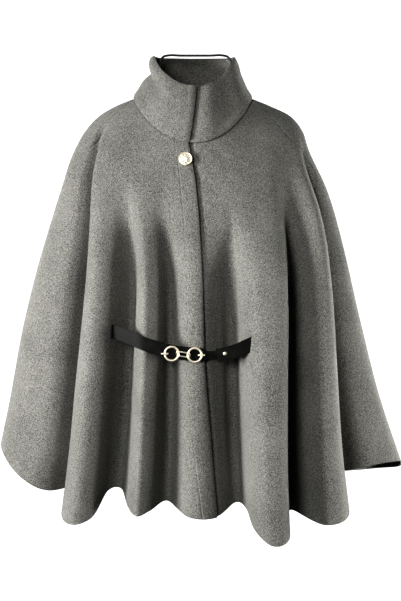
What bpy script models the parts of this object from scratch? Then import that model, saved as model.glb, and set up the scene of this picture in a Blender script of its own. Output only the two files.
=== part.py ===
"""Wool poncho with a funnel collar and a belt across its front, hung on a plain rod hanger.

Metres, +X to the viewer's right, +Y to the back, +Z up. The origin is the middle of the
hanger's flat top bar. The cloth is a wall whose outer face follows surface(place, drop):
place counts the fold rails round the body, drop runs from the neck seam (0) to the hem (1).
"""
from math import cos, pi, sin

import bmesh
import bpy
import numpy as np
from mathutils import Matrix, Vector

# Cloth
CLOTH = 0.0024
SEAM_GAP = 0.0007
NECK_GAP = 0.0006
LAP_STEP = 0.0034
# The share of the way from the front edge to the next fold over which the underlap lies deep
LAP_DEEP = 0.2
ROWS_DOWN = 20
ROW_CROWDING = 0.45
LAP_COLUMNS = 5
UNDERLAP_COLUMNS = 2
EDGE_COLUMNS = 5
FRONT_COLUMNS_PER_FOLD = 2
BACK_COLUMNS_PER_FOLD = 3
LEFT_SIDE_COLUMNS = 11
RIGHT_SIDE_COLUMNS = 7
BACK_SIDE_COLUMNS = 5

# Sections of the body without its folds. drop is the share of the length from neck to hem.
SECTION_COLUMNS = ("drop", "left_x", "right_x", "side_y", "side_z", "front_y", "front_z", "back_y", "back_z")
SECTIONS = (
    (0.00, 0.115, 0.105, -0.005, -0.082, -0.095, -0.178, 0.055, -0.076),
    (0.05, 0.151, 0.142, 0.000, -0.096, -0.099, -0.212, 0.074, -0.106),
    (0.10, 0.183, 0.180, 0.000, -0.115, -0.103, -0.245, 0.088, -0.143),
    (0.15, 0.209, 0.203, 0.000, -0.143, -0.107, -0.279, 0.098, -0.180),
    (0.20, 0.229, 0.215, 0.002, -0.178, -0.110, -0.312, 0.105, -0.217),
    (0.30, 0.255, 0.249, 0.006, -0.250, -0.114, -0.380, 0.114, -0.293),
    (0.45, 0.288, 0.285, 0.012, -0.360, -0.119, -0.480, 0.123, -0.406),
    (0.65, 0.325, 0.324, 0.018, -0.510, -0.125, -0.615, 0.133, -0.557),
    (0.85, 0.353, 0.364, 0.025, -0.661, -0.130, -0.749, 0.142, -0.708),
    (1.00, 0.375, 0.399, 0.030, -0.765, -0.134, -0.850, 0.148, -0.820),
)
RIDGE_POWER = 1.5

# How softly a fold begins: the share of its length over which it opens
SOFT = 0.30
CRISP = 0.10

# Folds, from the viewer's left tip round the front, then the back. Each has its angle on the body
# (0 is the front middle, 90 the viewer's right) at the shoulders and at the hem, where it meets
# the hem, and the drop where it begins.
FOLD_COLUMNS = ("name", "top_deg", "low_deg", "hem_x", "hem_y", "hem_z", "start", "onset")
FOLDS = (
    ("left_tip", -90, -90, -0.375, 0.030, -0.740, 0.30, SOFT),
    ("left_wing", -84, -60, -0.322, -0.046, -0.797, 0.12, SOFT),
    ("left_wing_inner", -82, -51, -0.275, -0.050, -0.818, 0.10, CRISP),
    ("left_groove", -79, -44, -0.228, -0.016, -0.818, 0.06, CRISP),
    ("crest_1_edge", -75, -40, -0.243, -0.100, -0.850, 0.06, CRISP),
    ("crest_1", -66, -36, -0.220, -0.152, -0.862, 0.08, SOFT),
    ("crest_1_fall", -58, -30, -0.184, -0.138, -0.852, 0.10, SOFT),
    ("trough_1_foot", -53, -25, -0.160, -0.090, -0.813, 0.10, SOFT),
    ("trough_1", -48, -22, -0.136, -0.078, -0.810, 0.10, SOFT),
    ("crest_2_edge", -43, -19, -0.120, -0.128, -0.836, 0.10, SOFT),
    ("crest_2", -39, -16, -0.103, -0.160, -0.846, 0.10, SOFT),
    ("crest_2_fall", -33, -13, -0.081, -0.140, -0.840, 0.10, SOFT),
    ("trough_2", -22, -8, -0.051, -0.090, -0.830, 0.05, SOFT),
    ("crest_3", -6, -1, -0.010, -0.150, -0.850, 0.06, SOFT),
    ("front_edge", 2, 6, 0.040, -0.146, -0.850, 0.08, SOFT),
    ("trough_3", 18, 11, 0.073, -0.098, -0.832, 0.12, SOFT),
    ("crest_4_foot", 22, 13, 0.091, -0.124, -0.838, 0.12, SOFT),
    ("crest_4_rise", 26, 15, 0.104, -0.172, -0.867, 0.12, SOFT),
    ("crest_4", 33, 20, 0.134, -0.206, -0.889, 0.12, SOFT),
    ("crest_4_edge", 48, 24, 0.165, -0.184, -0.881, 0.12, SOFT),
    ("trough_4", 60, 26, 0.174, -0.074, -0.850, 0.05, SOFT),
    ("crest_5", 75, 36, 0.232, -0.152, -0.863, 0.08, SOFT),
    ("crest_5_edge", 82, 43, 0.279, -0.108, -0.849, 0.12, SOFT),
    ("right_groove", 85, 47, 0.262, -0.004, -0.800, 0.12, SOFT),
    ("right_wing", 88, 57, 0.332, -0.008, -0.778, 0.20, SOFT),
    ("right_tip", 92, 92, 0.400, 0.050, -0.784, 0.30, SOFT),
    ("back_crest_1", 108, 116, 0.354, 0.098, -0.798, 0.25, SOFT),
    ("back_trough_1", 124, 137, 0.276, 0.072, -0.800, 0.16, SOFT),
    ("back_crest_2", 138, 149, 0.205, 0.166, -0.816, 0.20, SOFT),
    ("back_trough_2", 151, 160, 0.138, 0.104, -0.812, 0.14, SOFT),
    ("back_crest_3", 165, 170, 0.068, 0.178, -0.826, 0.18, SOFT),
    ("back_trough_3", 177, 179, 0.002, 0.118, -0.818, 0.22, SOFT),
    ("back_crest_4", 190, 190, -0.070, 0.174, -0.824, 0.16, SOFT),
    ("back_trough_4", 203, 201, -0.136, 0.106, -0.812, 0.14, SOFT),
    ("back_crest_5", 217, 213, -0.204, 0.164, -0.814, 0.18, SOFT),
    ("back_trough_5", 235, 228, -0.276, 0.084, -0.798, 0.16, SOFT),
    ("back_crest_6", 253, 247, -0.346, 0.090, -0.776, 0.25, SOFT),
)
# The rails leave their shoulder angles quickly on the viewer's left and slowly on the right
SWING_START = 0.05
SWING_LEFT = 0.17
SWING_RIGHT = 0.50

# Edges of the panels, as an angle on the body at each drop
CUT_COLUMNS = ("drop", "deg")
FRONT_EDGE = (
    (0.00, -6.0), (0.05, -2.0), (0.10, 0.0), (0.20, 1.9), (0.35, 3.0), (0.60, 3.6), (0.80, 5.0),
    (1.00, 6.0),
)
LEFT_SEAM = (
    (0.00, -84.0), (0.03, -78.0), (0.07, -72.0), (0.10, -69.0), (0.14, -67.0), (0.18, -69.5),
    (0.25, -75.0), (0.29, -80.0), (0.32, -91.0), (0.42, -98.0), (1.00, -98.0),
)
RIGHT_SEAM = (
    (0.00, 84.0), (0.03, 77.0), (0.07, 69.0), (0.10, 65.0), (0.14, 67.0), (0.19, 73.0),
    (0.24, 78.0), (0.28, 76.0), (1.00, 76.0),
)

# Below this drop the right seam runs in the right groove
GROOVE_MEETS_SEAM = 0.24
GROOVE_SEAM_LENGTH = 0.08

# Collar, from the neck seam (rise 0) to the rim (rise 1)
COLLAR_COLUMNS = ("rise", "left_x", "right_x", "side_y", "side_z", "front_y", "front_z", "back_y", "back_z")
COLLAR = (
    (0.00, 0.1150, 0.1050, -0.005, -0.082, -0.095, -0.178, 0.055, -0.076),
    (0.20, 0.1045, 0.0945, -0.006, -0.066, -0.094, -0.157, 0.054, -0.060),
    (0.40, 0.0930, 0.0870, -0.006, -0.049, -0.092, -0.136, 0.052, -0.044),
    (0.55, 0.0805, 0.0825, -0.006, -0.038, -0.090, -0.120, 0.051, -0.032),
    (0.75, 0.0812, 0.0785, -0.006, -0.023, -0.086, -0.101, 0.049, -0.016),
    (0.90, 0.0812, 0.0745, -0.007, -0.013, -0.081, -0.084, 0.047, -0.005),
    (0.96, 0.0795, 0.0725, -0.008, -0.009, -0.079, -0.078, 0.046, 0.000),
    (1.00, 0.0755, 0.0700, -0.008, -0.007, -0.077, -0.074, 0.045, 0.003),
)
COLLAR_POWER = 1.35
COLLAR_ROWS = 9
COLLAR_CROWDING = 1.4
COLLAR_COLUMN_COUNT = 55
COLLAR_LEFT_END = (-6.0, 1.0)
COLLAR_LAP = 16.0
COLLAR_SINK_DEG = 24.0

# Hanger
HANGER_RADIUS = 0.0022
HANGER_HALF = (
    (0.0270, 0.0000), (0.0540, 0.0000), (0.0620, -0.0030), (0.0665, -0.0110), (0.0685, -0.0240),
    (0.0690, -0.0420), (0.0700, -0.0600), (0.0735, -0.0730), (0.0820, -0.0810),
)
HANGER_ARM_DROPS = (0.03, 0.06, 0.09)
HANGER_CLEARANCE = 0.0045

# Button
BUTTON_DROP = 0.047
BUTTON_DEG = -6.8
BUTTON_PROFILE = (
    (0.0000, 0.0072), (0.0050, 0.0068), (0.0085, 0.0058), (0.0104, 0.0048), (0.0110, 0.0054),
    (0.0122, 0.0050), (0.0125, 0.0036), (0.0118, 0.0016), (0.0080, 0.0004), (0.0000, 0.0004),
)
BUTTON_SIDES = 24
RIVET_SIDES = 12

# Belt
STRAP_WIDTH = 0.024
STRAP_THICK = 0.0020
TONGUE_WIDTH = 0.0135
SLIT_CLEARANCE = 0.0008
ROUTE_COLUMNS = ("x", "y", "z", "width")
STRAP_LEFT_ROUTE = (
    (-0.1630, -0.1017, -0.5165, STRAP_WIDTH),
    (-0.1480, -0.1107, -0.5215, STRAP_WIDTH),
    (-0.1220, -0.1269, -0.5300, STRAP_WIDTH),
    (-0.1020, -0.1391, -0.5378, STRAP_WIDTH),
    (-0.0930, -0.1426, -0.5414, STRAP_WIDTH),
    (-0.0800, -0.1438, -0.5458, STRAP_WIDTH),
    (-0.0600, -0.1432, -0.5516, STRAP_WIDTH),
    (-0.0400, -0.1430, -0.5565, STRAP_WIDTH),
    (0.0000, -0.1430, -0.5610, STRAP_WIDTH),
    (0.0140, -0.1430, -0.5620, STRAP_WIDTH),
    (0.0215, -0.1430, -0.5620, TONGUE_WIDTH),
    (0.0400, -0.1432, -0.5610, TONGUE_WIDTH),
    (0.0620, -0.1436, -0.5585, TONGUE_WIDTH),
)
STRAP_RIGHT_ROUTE = (
    (0.0390, -0.1457, -0.5630, STRAP_WIDTH),
    (0.0600, -0.1461, -0.5585, STRAP_WIDTH),
    (0.0780, -0.1466, -0.5525, STRAP_WIDTH),
    (0.0915, -0.1470, -0.5460, STRAP_WIDTH),
    (0.1060, -0.1474, -0.5395, STRAP_WIDTH),
)
RIVET_PLACE = (0.0530, -0.1461, -0.5595)
RIVET_PROFILE = (
    (0.0000, 0.0026), (0.0018, 0.0023), (0.0031, 0.0015), (0.0035, 0.0008), (0.0033, 0.0003),
    (0.0000, 0.0003),
)

# Clasp: two rings, an oval link through both, and a staple over the outer side of each ring
RING_RADIUS = 0.0122
RING_WIRE = 0.0020
RING_CENTRES = {"ring_left": (-0.0417, -0.5595), "ring_right": (-0.0008, -0.5620)}
RING_DEPTH = -0.1496
CLASP_GAP = 0.0006
LINK_WIRE = 0.0012
LINK_TILT = 45.0
STAPLE_WIRE = 0.0016
STAPLE_SPAN = 0.0052
STAPLE_FOOT = -0.1444
STAPLE_CORNER = 0.3
WIRE_SIDES = 8
RING_SIDES = 24
LINK_TURN_STEPS = 6

COLOURS = {
    "wool": (0.235, 0.232, 0.218),
    "leather": (0.012, 0.012, 0.012),
    "metal": (0.78, 0.72, 0.60),
    "rod": (0.015, 0.015, 0.016),
}


# Small steps along the surface, in places or drops and in degrees, that give its directions
STEP = 0.001
FRAME_STEP = 0.01
TURN_STEP = 0.5
SEARCH_PER_FOLD = 40

# Faces that meet at less than this angle are shaded as one, and points nearer than this are one
SMOOTH_DEG = 40.0
MERGE = 0.00001


def column(table, names, name):
    """One named column of a table, as an array."""
    return np.array([row[names.index(name)] for row in table], dtype=float)


def curve_through(knots, values, at):
    """A smooth curve through the values at the knots, read at each place in at."""
    slopes = np.gradient(values, knots)
    at = np.clip(at, knots[0], knots[-1])
    i = np.clip(np.searchsorted(knots, at, side="right") - 1, 0, len(knots) - 2)
    span = knots[i + 1] - knots[i]
    t = (at - knots[i]) / span
    rise = values[i + 1] - values[i]
    start = slopes[i] * span
    end = slopes[i + 1] * span
    return values[i] + t * (start + t * (3 * rise - 2 * start - end + t * (start + end - 2 * rise)))


def ease(t):
    t = np.clip(t, 0.0, 1.0)
    return t * t * (3 - 2 * t)


def ring_point(table, names, deg, at, power):
    """The point of a ring of sections at an angle: 0 is the front, 90 the viewer's right."""
    knots = column(table, names, names[0])
    read = {name: curve_through(knots, column(table, names, name), at) for name in names[1:]}
    sine = np.sin(np.radians(deg))
    cosine = np.cos(np.radians(deg))
    front = cosine > 0
    reach = np.abs(cosine)
    x = sine * np.where(sine < 0, read["left_x"], read["right_x"])
    far_y = np.where(front, read["front_y"], read["back_y"])
    far_z = np.where(front, read["front_z"], read["back_z"])
    y = read["side_y"] + (far_y - read["side_y"]) * reach
    z = read["side_z"] + (far_z - read["side_z"]) * reach ** power
    return np.stack(np.broadcast_arrays(x, y, z), axis=-1)


FOLD_COUNT = len(FOLDS)
RAIL = {row[0]: k for k, row in enumerate(FOLDS)}
TOP_DEG, LOW_DEG, HEM_X, HEM_Y, HEM_Z, START, ONSET = (
    column(FOLDS, FOLD_COLUMNS, name) for name in FOLD_COLUMNS[1:]
)
SWINGS_LEFT = HEM_X < 0.0


def body_point(deg, drop):
    """A point of the body without its folds."""
    return ring_point(SECTIONS, SECTION_COLUMNS, deg, drop, RIDGE_POWER)


def unit(vectors):
    return vectors / np.linalg.norm(vectors, axis=-1, keepdims=True)


def body_frame(deg, drop):
    """Directions out of the body, round it and down it, at a point without folds."""
    around = unit(body_point(deg + TURN_STEP, drop) - body_point(deg - TURN_STEP, drop))
    low = np.maximum(drop - FRAME_STEP, 0.0)
    high = np.minimum(drop + FRAME_STEP, 1.0)
    down = body_point(deg, high) - body_point(deg, low)
    out = unit(np.cross(down, around))
    return np.stack((out, around, np.cross(around, out)), axis=-2)


HEM_DROPS = np.ones(FOLD_COUNT)
HEM_MOVE = np.stack((HEM_X, HEM_Y, HEM_Z), axis=-1) - body_point(LOW_DEG, HEM_DROPS)
HEM_PULL = np.einsum("kij,kj->ki", body_frame(LOW_DEG, HEM_DROPS), HEM_MOVE)


def rail_weights(place):
    """The four fold rails round a place, and how much each counts."""
    first = np.floor(place).astype(int)
    t = place - first
    weights = (
        0.5 * (-t + 2 * t**2 - t**3),
        0.5 * (2 - 5 * t**2 + 3 * t**3),
        0.5 * (t + 4 * t**2 - 3 * t**3),
        0.5 * (-(t**2) + t**3),
    )
    return [(first - 1 + k, weights[k]) for k in range(4)]


def swing_at(drop, length):
    """How far a rail has moved from its shoulder angle to its hem angle."""
    fallen = np.maximum(drop - SWING_START, 0.0)
    return (1 - np.exp(-fallen / length)) / (1 - np.exp(-(1 - SWING_START) / length))


def angle_at(place, drop):
    """The angle on the body of a place between the fold rails."""
    total = 0.0
    for rail, weight in rail_weights(place):
        k = rail % FOLD_COUNT
        swing = np.where(SWINGS_LEFT[k], swing_at(drop, SWING_LEFT), swing_at(drop, SWING_RIGHT))
        turn = 360.0 * (rail // FOLD_COUNT)
        total = total + weight * (TOP_DEG[k] + (LOW_DEG[k] - TOP_DEG[k]) * swing + turn)
    return total


def fold_growth(start, onset, drop):
    """How far a fold has opened at a drop, 0 at its start and 1 at the hem."""
    t = np.clip((drop - start) / (1 - start), 0.0, 1.0)
    return (1 - (1 - t) ** 2) * ease(t / onset)


def surface(place, drop):
    """The outer face of the cloth: the body, pulled out, round and down by its folds."""
    place, drop = np.broadcast_arrays(np.asarray(place, float), np.asarray(drop, float))
    deg = angle_at(place, drop)
    pull = np.zeros(place.shape + (3,))
    for rail, weight in rail_weights(place):
        k = rail % FOLD_COUNT
        pull += (weight * fold_growth(START[k], ONSET[k], drop))[..., None] * HEM_PULL[k]
    return body_point(deg, drop) + np.einsum("...i,...ij->...j", pull, body_frame(deg, drop))


def outward(place, drop):
    """The direction straight out of the cloth."""
    low = np.maximum(drop - STEP, 0.0)
    high = np.minimum(drop + STEP, 1.0)
    across = surface(place + STEP, drop) - surface(place - STEP, drop)
    down = surface(place, high) - surface(place, low)
    return unit(np.cross(down, across))


def place_of(deg, drop):
    """The place between the fold rails that lies at an angle on the body."""
    places = np.linspace(0.0, FOLD_COUNT, FOLD_COUNT * SEARCH_PER_FOLD)
    return np.interp(deg, angle_at(places, np.full_like(places, drop)), places)


def cut_line(table, drops):
    """The places along a panel's edge."""
    degrees = np.interp(drops, column(table, CUT_COLUMNS, "drop"), column(table, CUT_COLUMNS, "deg"))
    return np.array([place_of(deg, drop) for deg, drop in zip(degrees, drops)])


def spread(start, end, count):
    """Evenly spaced places in each row from one edge line to another, the far edge included."""
    shares = np.linspace(0.0, 1.0, count + 1)
    return start[:, None] + (end - start)[:, None] * shares[None, :]


def on_rails(first, last, per_fold, rows):
    """The same places in each row, on the fold rails and evenly between them."""
    count = int(round(abs(last - first) * per_fold))
    return np.broadcast_to(np.linspace(first, last, count + 1), (rows, count + 1))


def join_places(*groups):
    """Groups of columns side by side, each starting where the one before ends."""
    return np.hstack([groups[0]] + [group[:, 1:] for group in groups[1:]])


def material(name, colour, roughness, metallic):
    made = bpy.data.materials.new(name)
    made.use_nodes = True
    shader = made.node_tree.nodes["Principled BSDF"]
    shader.inputs["Base Color"].default_value = (*colour, 1.0)
    shader.inputs["Roughness"].default_value = roughness
    shader.inputs["Metallic"].default_value = metallic
    return made


def add_object(name, bm, finish):
    """A named object from a mesh, with its own material."""
    bmesh.ops.recalc_face_normals(bm, faces=bm.faces)
    mesh = bpy.data.meshes.new(name)
    bm.to_mesh(mesh)
    bm.free()
    colour, roughness, metallic = finish
    mesh.materials.append(material(name, COLOURS[colour], roughness, metallic))
    mesh.shade_smooth()
    mesh.set_sharp_from_angle(angle=np.radians(SMOOTH_DEG))
    made = bpy.data.objects.new(name, mesh)
    bpy.context.collection.objects.link(made)
    return made


WOOL = ("wool", 0.92, 0.0)
LEATHER = ("leather", 0.45, 0.0)
METAL = ("metal", 0.25, 1.0)
ROD = ("rod", 0.35, 0.0)


def wall(name, outer, inner, finish):
    """A closed wall between two grids of points, with a rim along its four edges."""
    rows, columns = outer.shape[:2]
    bm = bmesh.new()
    out = [[bm.verts.new(outer[r, c]) for c in range(columns)] for r in range(rows)]
    back = [[bm.verts.new(inner[r, c]) for c in range(columns)] for r in range(rows)]
    for r in range(rows - 1):
        for c in range(columns - 1):
            bm.faces.new((out[r][c], out[r + 1][c], out[r + 1][c + 1], out[r][c + 1]))
            bm.faces.new((back[r][c], back[r][c + 1], back[r + 1][c + 1], back[r + 1][c]))
    for r in (0, rows - 1):
        for c in range(columns - 1):
            bm.faces.new((out[r][c], out[r][c + 1], back[r][c + 1], back[r][c]))
    for c in (0, columns - 1):
        for r in range(rows - 1):
            bm.faces.new((out[r][c], out[r + 1][c], back[r + 1][c], back[r][c]))
    return add_object(name, bm, finish)


def row_drops():
    """Drops of the rows: close together over the shoulders, wider lower down."""
    steps = np.linspace(0.0, 1.0, ROWS_DOWN + 1)
    return ROW_CROWDING * steps**2 + (1 - ROW_CROWDING) * steps


def panel(name, places, drops, sink):
    """A panel of cloth on the surface, sunk inwards where it lies behind another."""
    grid_drops = np.broadcast_to(drops[:, None], places.shape)
    points = surface(places, grid_drops)
    normals = outward(places, grid_drops)
    outer = points - normals * sink[..., None]
    return wall(name, outer, outer - normals * CLOTH, WOOL)


def edge_nudge(places, drops, direction):
    """Places moved off a seam line by half the seam's gap."""
    across = surface(places + STEP, drops) - surface(places - STEP, drops)
    return places + direction * SEAM_GAP * STEP / np.linalg.norm(across, axis=-1)


def make_panels():
    drops = row_drops()
    rows = len(drops)
    edge = cut_line(FRONT_EDGE, drops)
    left = cut_line(LEFT_SEAM, drops)
    right = cut_line(RIGHT_SEAM, drops)
    into_groove = ease((drops - GROOVE_MEETS_SEAM) / GROOVE_SEAM_LENGTH)
    right = right + (RAIL["right_groove"] - right) * into_groove

    lap_end = np.full(rows, RAIL["trough_2"])
    lap = spread(edge, lap_end, LAP_COLUMNS)
    left_places = join_places(
        lap,
        on_rails(RAIL["trough_2"], RAIL["crest_1"], FRONT_COLUMNS_PER_FOLD, rows),
        spread(np.full(rows, RAIL["crest_1"]), edge_nudge(left, drops, 1), LEFT_SIDE_COLUMNS),
    )
    panel("front_left", left_places, drops, np.zeros(left_places.shape))

    right_places = join_places(
        lap[:, UNDERLAP_COLUMNS::-1],
        spread(edge, np.full(rows, RAIL["trough_3"]), EDGE_COLUMNS),
        on_rails(RAIL["trough_3"], RAIL["trough_4"], FRONT_COLUMNS_PER_FOLD, rows),
        spread(np.full(rows, RAIL["trough_4"]), edge_nudge(right, drops, -1), RIGHT_SIDE_COLUMNS),
    )
    past_edge = (right_places - edge[:, None]) / (RAIL["trough_3"] - edge[:, None])
    panel("front_right", right_places, drops, LAP_STEP * (1 - ease((past_edge - LAP_DEEP) / (1 - LAP_DEEP))))

    last_tip = FOLD_COUNT + RAIL["left_tip"]
    back_places = join_places(
        spread(edge_nudge(right, drops, 1), np.full(rows, RAIL["right_tip"]), BACK_SIDE_COLUMNS),
        on_rails(RAIL["right_tip"], last_tip - 1, BACK_COLUMNS_PER_FOLD, rows),
        spread(np.full(rows, last_tip - 1), edge_nudge(left, drops, -1) + FOLD_COUNT, BACK_SIDE_COLUMNS),
    )
    panel("back", back_places, drops, np.zeros(back_places.shape))


def collar_point(deg, rise):
    point = ring_point(COLLAR, COLLAR_COLUMNS, deg, rise, COLLAR_POWER)
    foot = body_point(deg, np.zeros_like(rise))
    foot_here = ring_point(COLLAR, COLLAR_COLUMNS, deg, np.zeros_like(rise), COLLAR_POWER)
    point = point + (foot - foot_here) * ((1 - rise) ** 2)[..., None]
    point[..., 2] += NECK_GAP * (1 - rise)
    return point


def collar_normal(deg, rise):
    low = np.maximum(rise - STEP, 0.0)
    high = np.minimum(rise + STEP, 1.0)
    around = collar_point(deg + TURN_STEP, rise) - collar_point(deg - TURN_STEP, rise)
    up = collar_point(deg, high) - collar_point(deg, low)
    return unit(np.cross(around, up))


def make_collar():
    """The funnel collar: from its left end in front, round the back, to its end under the lap."""
    rises = 1 - (1 - np.linspace(0.0, 1.0, COLLAR_ROWS + 1)) ** COLLAR_CROWDING
    shares = np.linspace(0.0, 1.0, COLLAR_COLUMN_COUNT)
    start = COLLAR_LEFT_END[0] + (COLLAR_LEFT_END[1] - COLLAR_LEFT_END[0]) * rises
    end = start - 360.0 - COLLAR_LAP
    deg = start[:, None] + (end - start)[:, None] * shares[None, :]
    rise = np.broadcast_to(rises[:, None], deg.shape)
    outer = collar_point(deg, rise)
    normals = collar_normal(deg, rise)
    past_edge = (deg + 360.0 - start[:, None]) / COLLAR_SINK_DEG
    under = 1 - ease((past_edge - LAP_DEEP) / (1 - LAP_DEEP))
    outer = outer - normals * (LAP_STEP * under)[..., None]
    inward = normals.copy()
    inward[0, :, 2] = 0.0
    wall("collar", outer, outer - unit(inward) * CLOTH, WOOL)


def tube(name, points, radius, sides, finish, closed=False):
    """A round rod along a list of points, with flat ends or closed on itself."""
    points = [Vector(p) for p in points]
    count = len(points)
    bm = bmesh.new()
    rings = []
    side = None
    for i, point in enumerate(points):
        before = points[(i - 1) % count] if closed or i > 0 else point
        after = points[(i + 1) % count] if closed or i < count - 1 else point
        along = (after - before).normalized()
        if side is None:
            side = along.orthogonal().normalized()
        side = (side - along * side.dot(along)).normalized()
        up = along.cross(side)
        turns = [2 * pi * n / sides for n in range(sides)]
        rings.append([bm.verts.new(point + radius * (cos(a) * side + sin(a) * up)) for a in turns])
    pairs = list(zip(rings, rings[1:])) + ([(rings[-1], rings[0])] if closed else [])
    for one, two in pairs:
        for n in range(sides):
            m = (n + 1) % sides
            bm.faces.new((one[n], one[m], two[m], two[n]))
    if not closed:
        bm.faces.new(list(reversed(rings[0])))
        bm.faces.new(rings[-1])
    return add_object(name, bm, finish)


def make_hanger():
    """A rod with a flat top bar, bent down inside the collar and out under the shoulders."""
    right = [Vector((x, 0.0, z)) for x, z in HANGER_HALF]
    left = [Vector((-x, 0.0, z)) for x, z in HANGER_HALF]
    sunk = CLOTH + HANGER_CLEARANCE + HANGER_RADIUS
    for drop in HANGER_ARM_DROPS:
        for arm, deg in ((right, 90.0), (left, -90.0)):
            at = np.array(drop)
            ridge = body_point(np.array(deg), at)
            ahead = body_point(np.array(deg), at + FRAME_STEP)
            along = Vector(ahead - ridge).normalized()
            below = along.cross(Vector((0.0, np.sign(deg), 0.0))).normalized()
            if below.z > 0:
                below = -below
            arm.append(Vector(ridge) + below * sunk)
    route = list(reversed(left)) + right
    for point in route:
        point.y = 0.0
    tube("hanger", route, HANGER_RADIUS, WIRE_SIDES, ROD)


def turned(profile, sides):
    """A round piece turned from radius and height pairs, top first."""
    bm = bmesh.new()
    spine = [bm.verts.new((radius, 0.0, height)) for radius, height in profile]
    edges = [bm.edges.new(pair) for pair in zip(spine, spine[1:])]
    bmesh.ops.spin(
        bm, geom=spine + edges, axis=(0, 0, 1), cent=(0, 0, 0),
        angle=2 * pi, steps=sides, use_merge=True,
    )
    bmesh.ops.remove_doubles(bm, verts=bm.verts, dist=MERGE)
    return bm


def place_turned(bm, point, normal):
    turn = normal.to_track_quat("Z", "Y").to_matrix().to_4x4()
    bmesh.ops.transform(bm, matrix=Matrix.Translation(point) @ turn, verts=bm.verts)


def make_button():
    """A domed metal button with a raised rim, on the top of the front edge."""
    at = np.array(BUTTON_DROP)
    place = place_of(BUTTON_DEG, BUTTON_DROP)
    point = Vector(surface(place, at))
    normal = Vector(outward(np.array(place), at))
    bm = turned(BUTTON_PROFILE, BUTTON_SIDES)
    place_turned(bm, point, normal)
    add_object("button", bm, METAL)


def strap_mesh(route, grow=0.0):
    """A flat strap along a route, its width upright and its thickness across the route."""
    bm = bmesh.new()
    rings = []
    points = [Vector(row[:3]) for row in route]
    for i, point in enumerate(points):
        along = (points[min(i + 1, len(points) - 1)] - points[max(i - 1, 0)]).normalized()
        across = Vector((0.0, 0.0, 1.0)) - along * along.z
        across.normalize()
        out = along.cross(across).normalized()
        half = route[i][ROUTE_COLUMNS.index("width")] / 2 + grow
        thick = STRAP_THICK / 2 + grow
        corners = ((half, thick), (half, -thick), (-half, -thick), (-half, thick))
        rings.append([bm.verts.new(point + across * a + out * b) for a, b in corners])
    for one, two in zip(rings, rings[1:]):
        for n in range(4):
            m = (n + 1) % 4
            bm.faces.new((one[n], one[m], two[m], two[n]))
    bm.faces.new(list(reversed(rings[0])))
    bm.faces.new(rings[-1])
    bmesh.ops.recalc_face_normals(bm, faces=bm.faces)
    return bm


def cut_slit(panel_name, route):
    """A slit through a panel along the part of a strap's route that passes it."""
    cutter = add_object("slit_in_" + panel_name, strap_mesh(route, SLIT_CLEARANCE), LEATHER)
    cutter.hide_render = True
    cutter.display_type = "WIRE"
    cut = bpy.data.objects[panel_name].modifiers.new("slit", "BOOLEAN")
    cut.operation = "DIFFERENCE"
    cut.solver = "EXACT"
    cut.object = cutter


def make_straps():
    add_object("strap_left", strap_mesh(STRAP_LEFT_ROUTE), LEATHER)
    add_object("strap_right", strap_mesh(STRAP_RIGHT_ROUTE), LEATHER)
    cut_slit("front_left", STRAP_LEFT_ROUTE[:3])
    cut_slit("front_right", STRAP_RIGHT_ROUTE[-3:])


def ring_route(centre, radius, count):
    x, y, z = centre
    turns = [2 * pi * n / count for n in range(count)]
    return [(x + radius * cos(a), y, z + radius * sin(a)) for a in turns]


def link_route():
    """A tilted oval that passes in front of and behind the inner side of each ring."""
    (left_x, left_z), (right_x, right_z) = RING_CENTRES.values()
    inner_left = left_x + RING_RADIUS
    inner_right = right_x - RING_RADIUS
    middle = Vector(((inner_left + inner_right) / 2, RING_DEPTH, (left_z + right_z) / 2))
    past = RING_WIRE + LINK_WIRE + CLASP_GAP
    tilt = LINK_TILT * pi / 180
    half_width = past / sin(tilt)
    across = Vector((0.0, -sin(tilt), cos(tilt)))
    along = Vector((inner_right - inner_left, 0.0, right_z - left_z)).normalized()
    straight = (inner_right - inner_left) / 2
    points = []
    for side in (1, -1):
        for n in range(LINK_TURN_STEPS + 1):
            a = pi * n / LINK_TURN_STEPS - pi / 2
            reach = along * (straight + past * cos(a))
            points.append(middle + side * (reach + across * half_width * sin(a)))
    return points


def staple_route(x, z):
    """A square bow over a ring's wire, with both feet on the strap."""
    crown = RING_DEPTH - RING_WIRE - CLASP_GAP - STAPLE_WIRE
    bend = STAPLE_WIRE
    corner = bend * STAPLE_CORNER
    return [
        (x - STAPLE_SPAN, STAPLE_FOOT, z),
        (x - STAPLE_SPAN, crown + bend, z),
        (x - STAPLE_SPAN + corner, crown + corner, z),
        (x - STAPLE_SPAN + bend, crown, z),
        (x + STAPLE_SPAN - bend, crown, z),
        (x + STAPLE_SPAN - corner, crown + corner, z),
        (x + STAPLE_SPAN, crown + bend, z),
        (x + STAPLE_SPAN, STAPLE_FOOT, z),
    ]


def make_clasp():
    for name, (x, z) in RING_CENTRES.items():
        route = ring_route((x, RING_DEPTH, z), RING_RADIUS, RING_SIDES)
        tube(name, route, RING_WIRE, WIRE_SIDES, METAL, closed=True)
    tube("link", link_route(), LINK_WIRE, WIRE_SIDES, METAL, closed=True)
    (left_x, left_z), (right_x, right_z) = RING_CENTRES.values()
    tube("staple_left", staple_route(left_x - RING_RADIUS, left_z), STAPLE_WIRE, WIRE_SIDES, METAL)
    tube("staple_right", staple_route(right_x + RING_RADIUS, right_z), STAPLE_WIRE, WIRE_SIDES, METAL)


def make_rivet():
    """A small domed stud on the right strap, over the tongue."""
    bm = turned(RIVET_PROFILE, RIVET_SIDES)
    place_turned(bm, Vector(RIVET_PLACE) + Vector((0.0, -STRAP_THICK / 2, 0.0)), Vector((0.0, -1.0, 0.0)))
    add_object("rivet", bm, METAL)


def make_all():
    make_panels()
    make_collar()
    make_hanger()
    make_button()
    make_straps()
    make_clasp()
    make_rivet()


for old in list(bpy.data.objects):
    bpy.data.objects.remove(old, do_unlink=True)
make_all()
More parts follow.
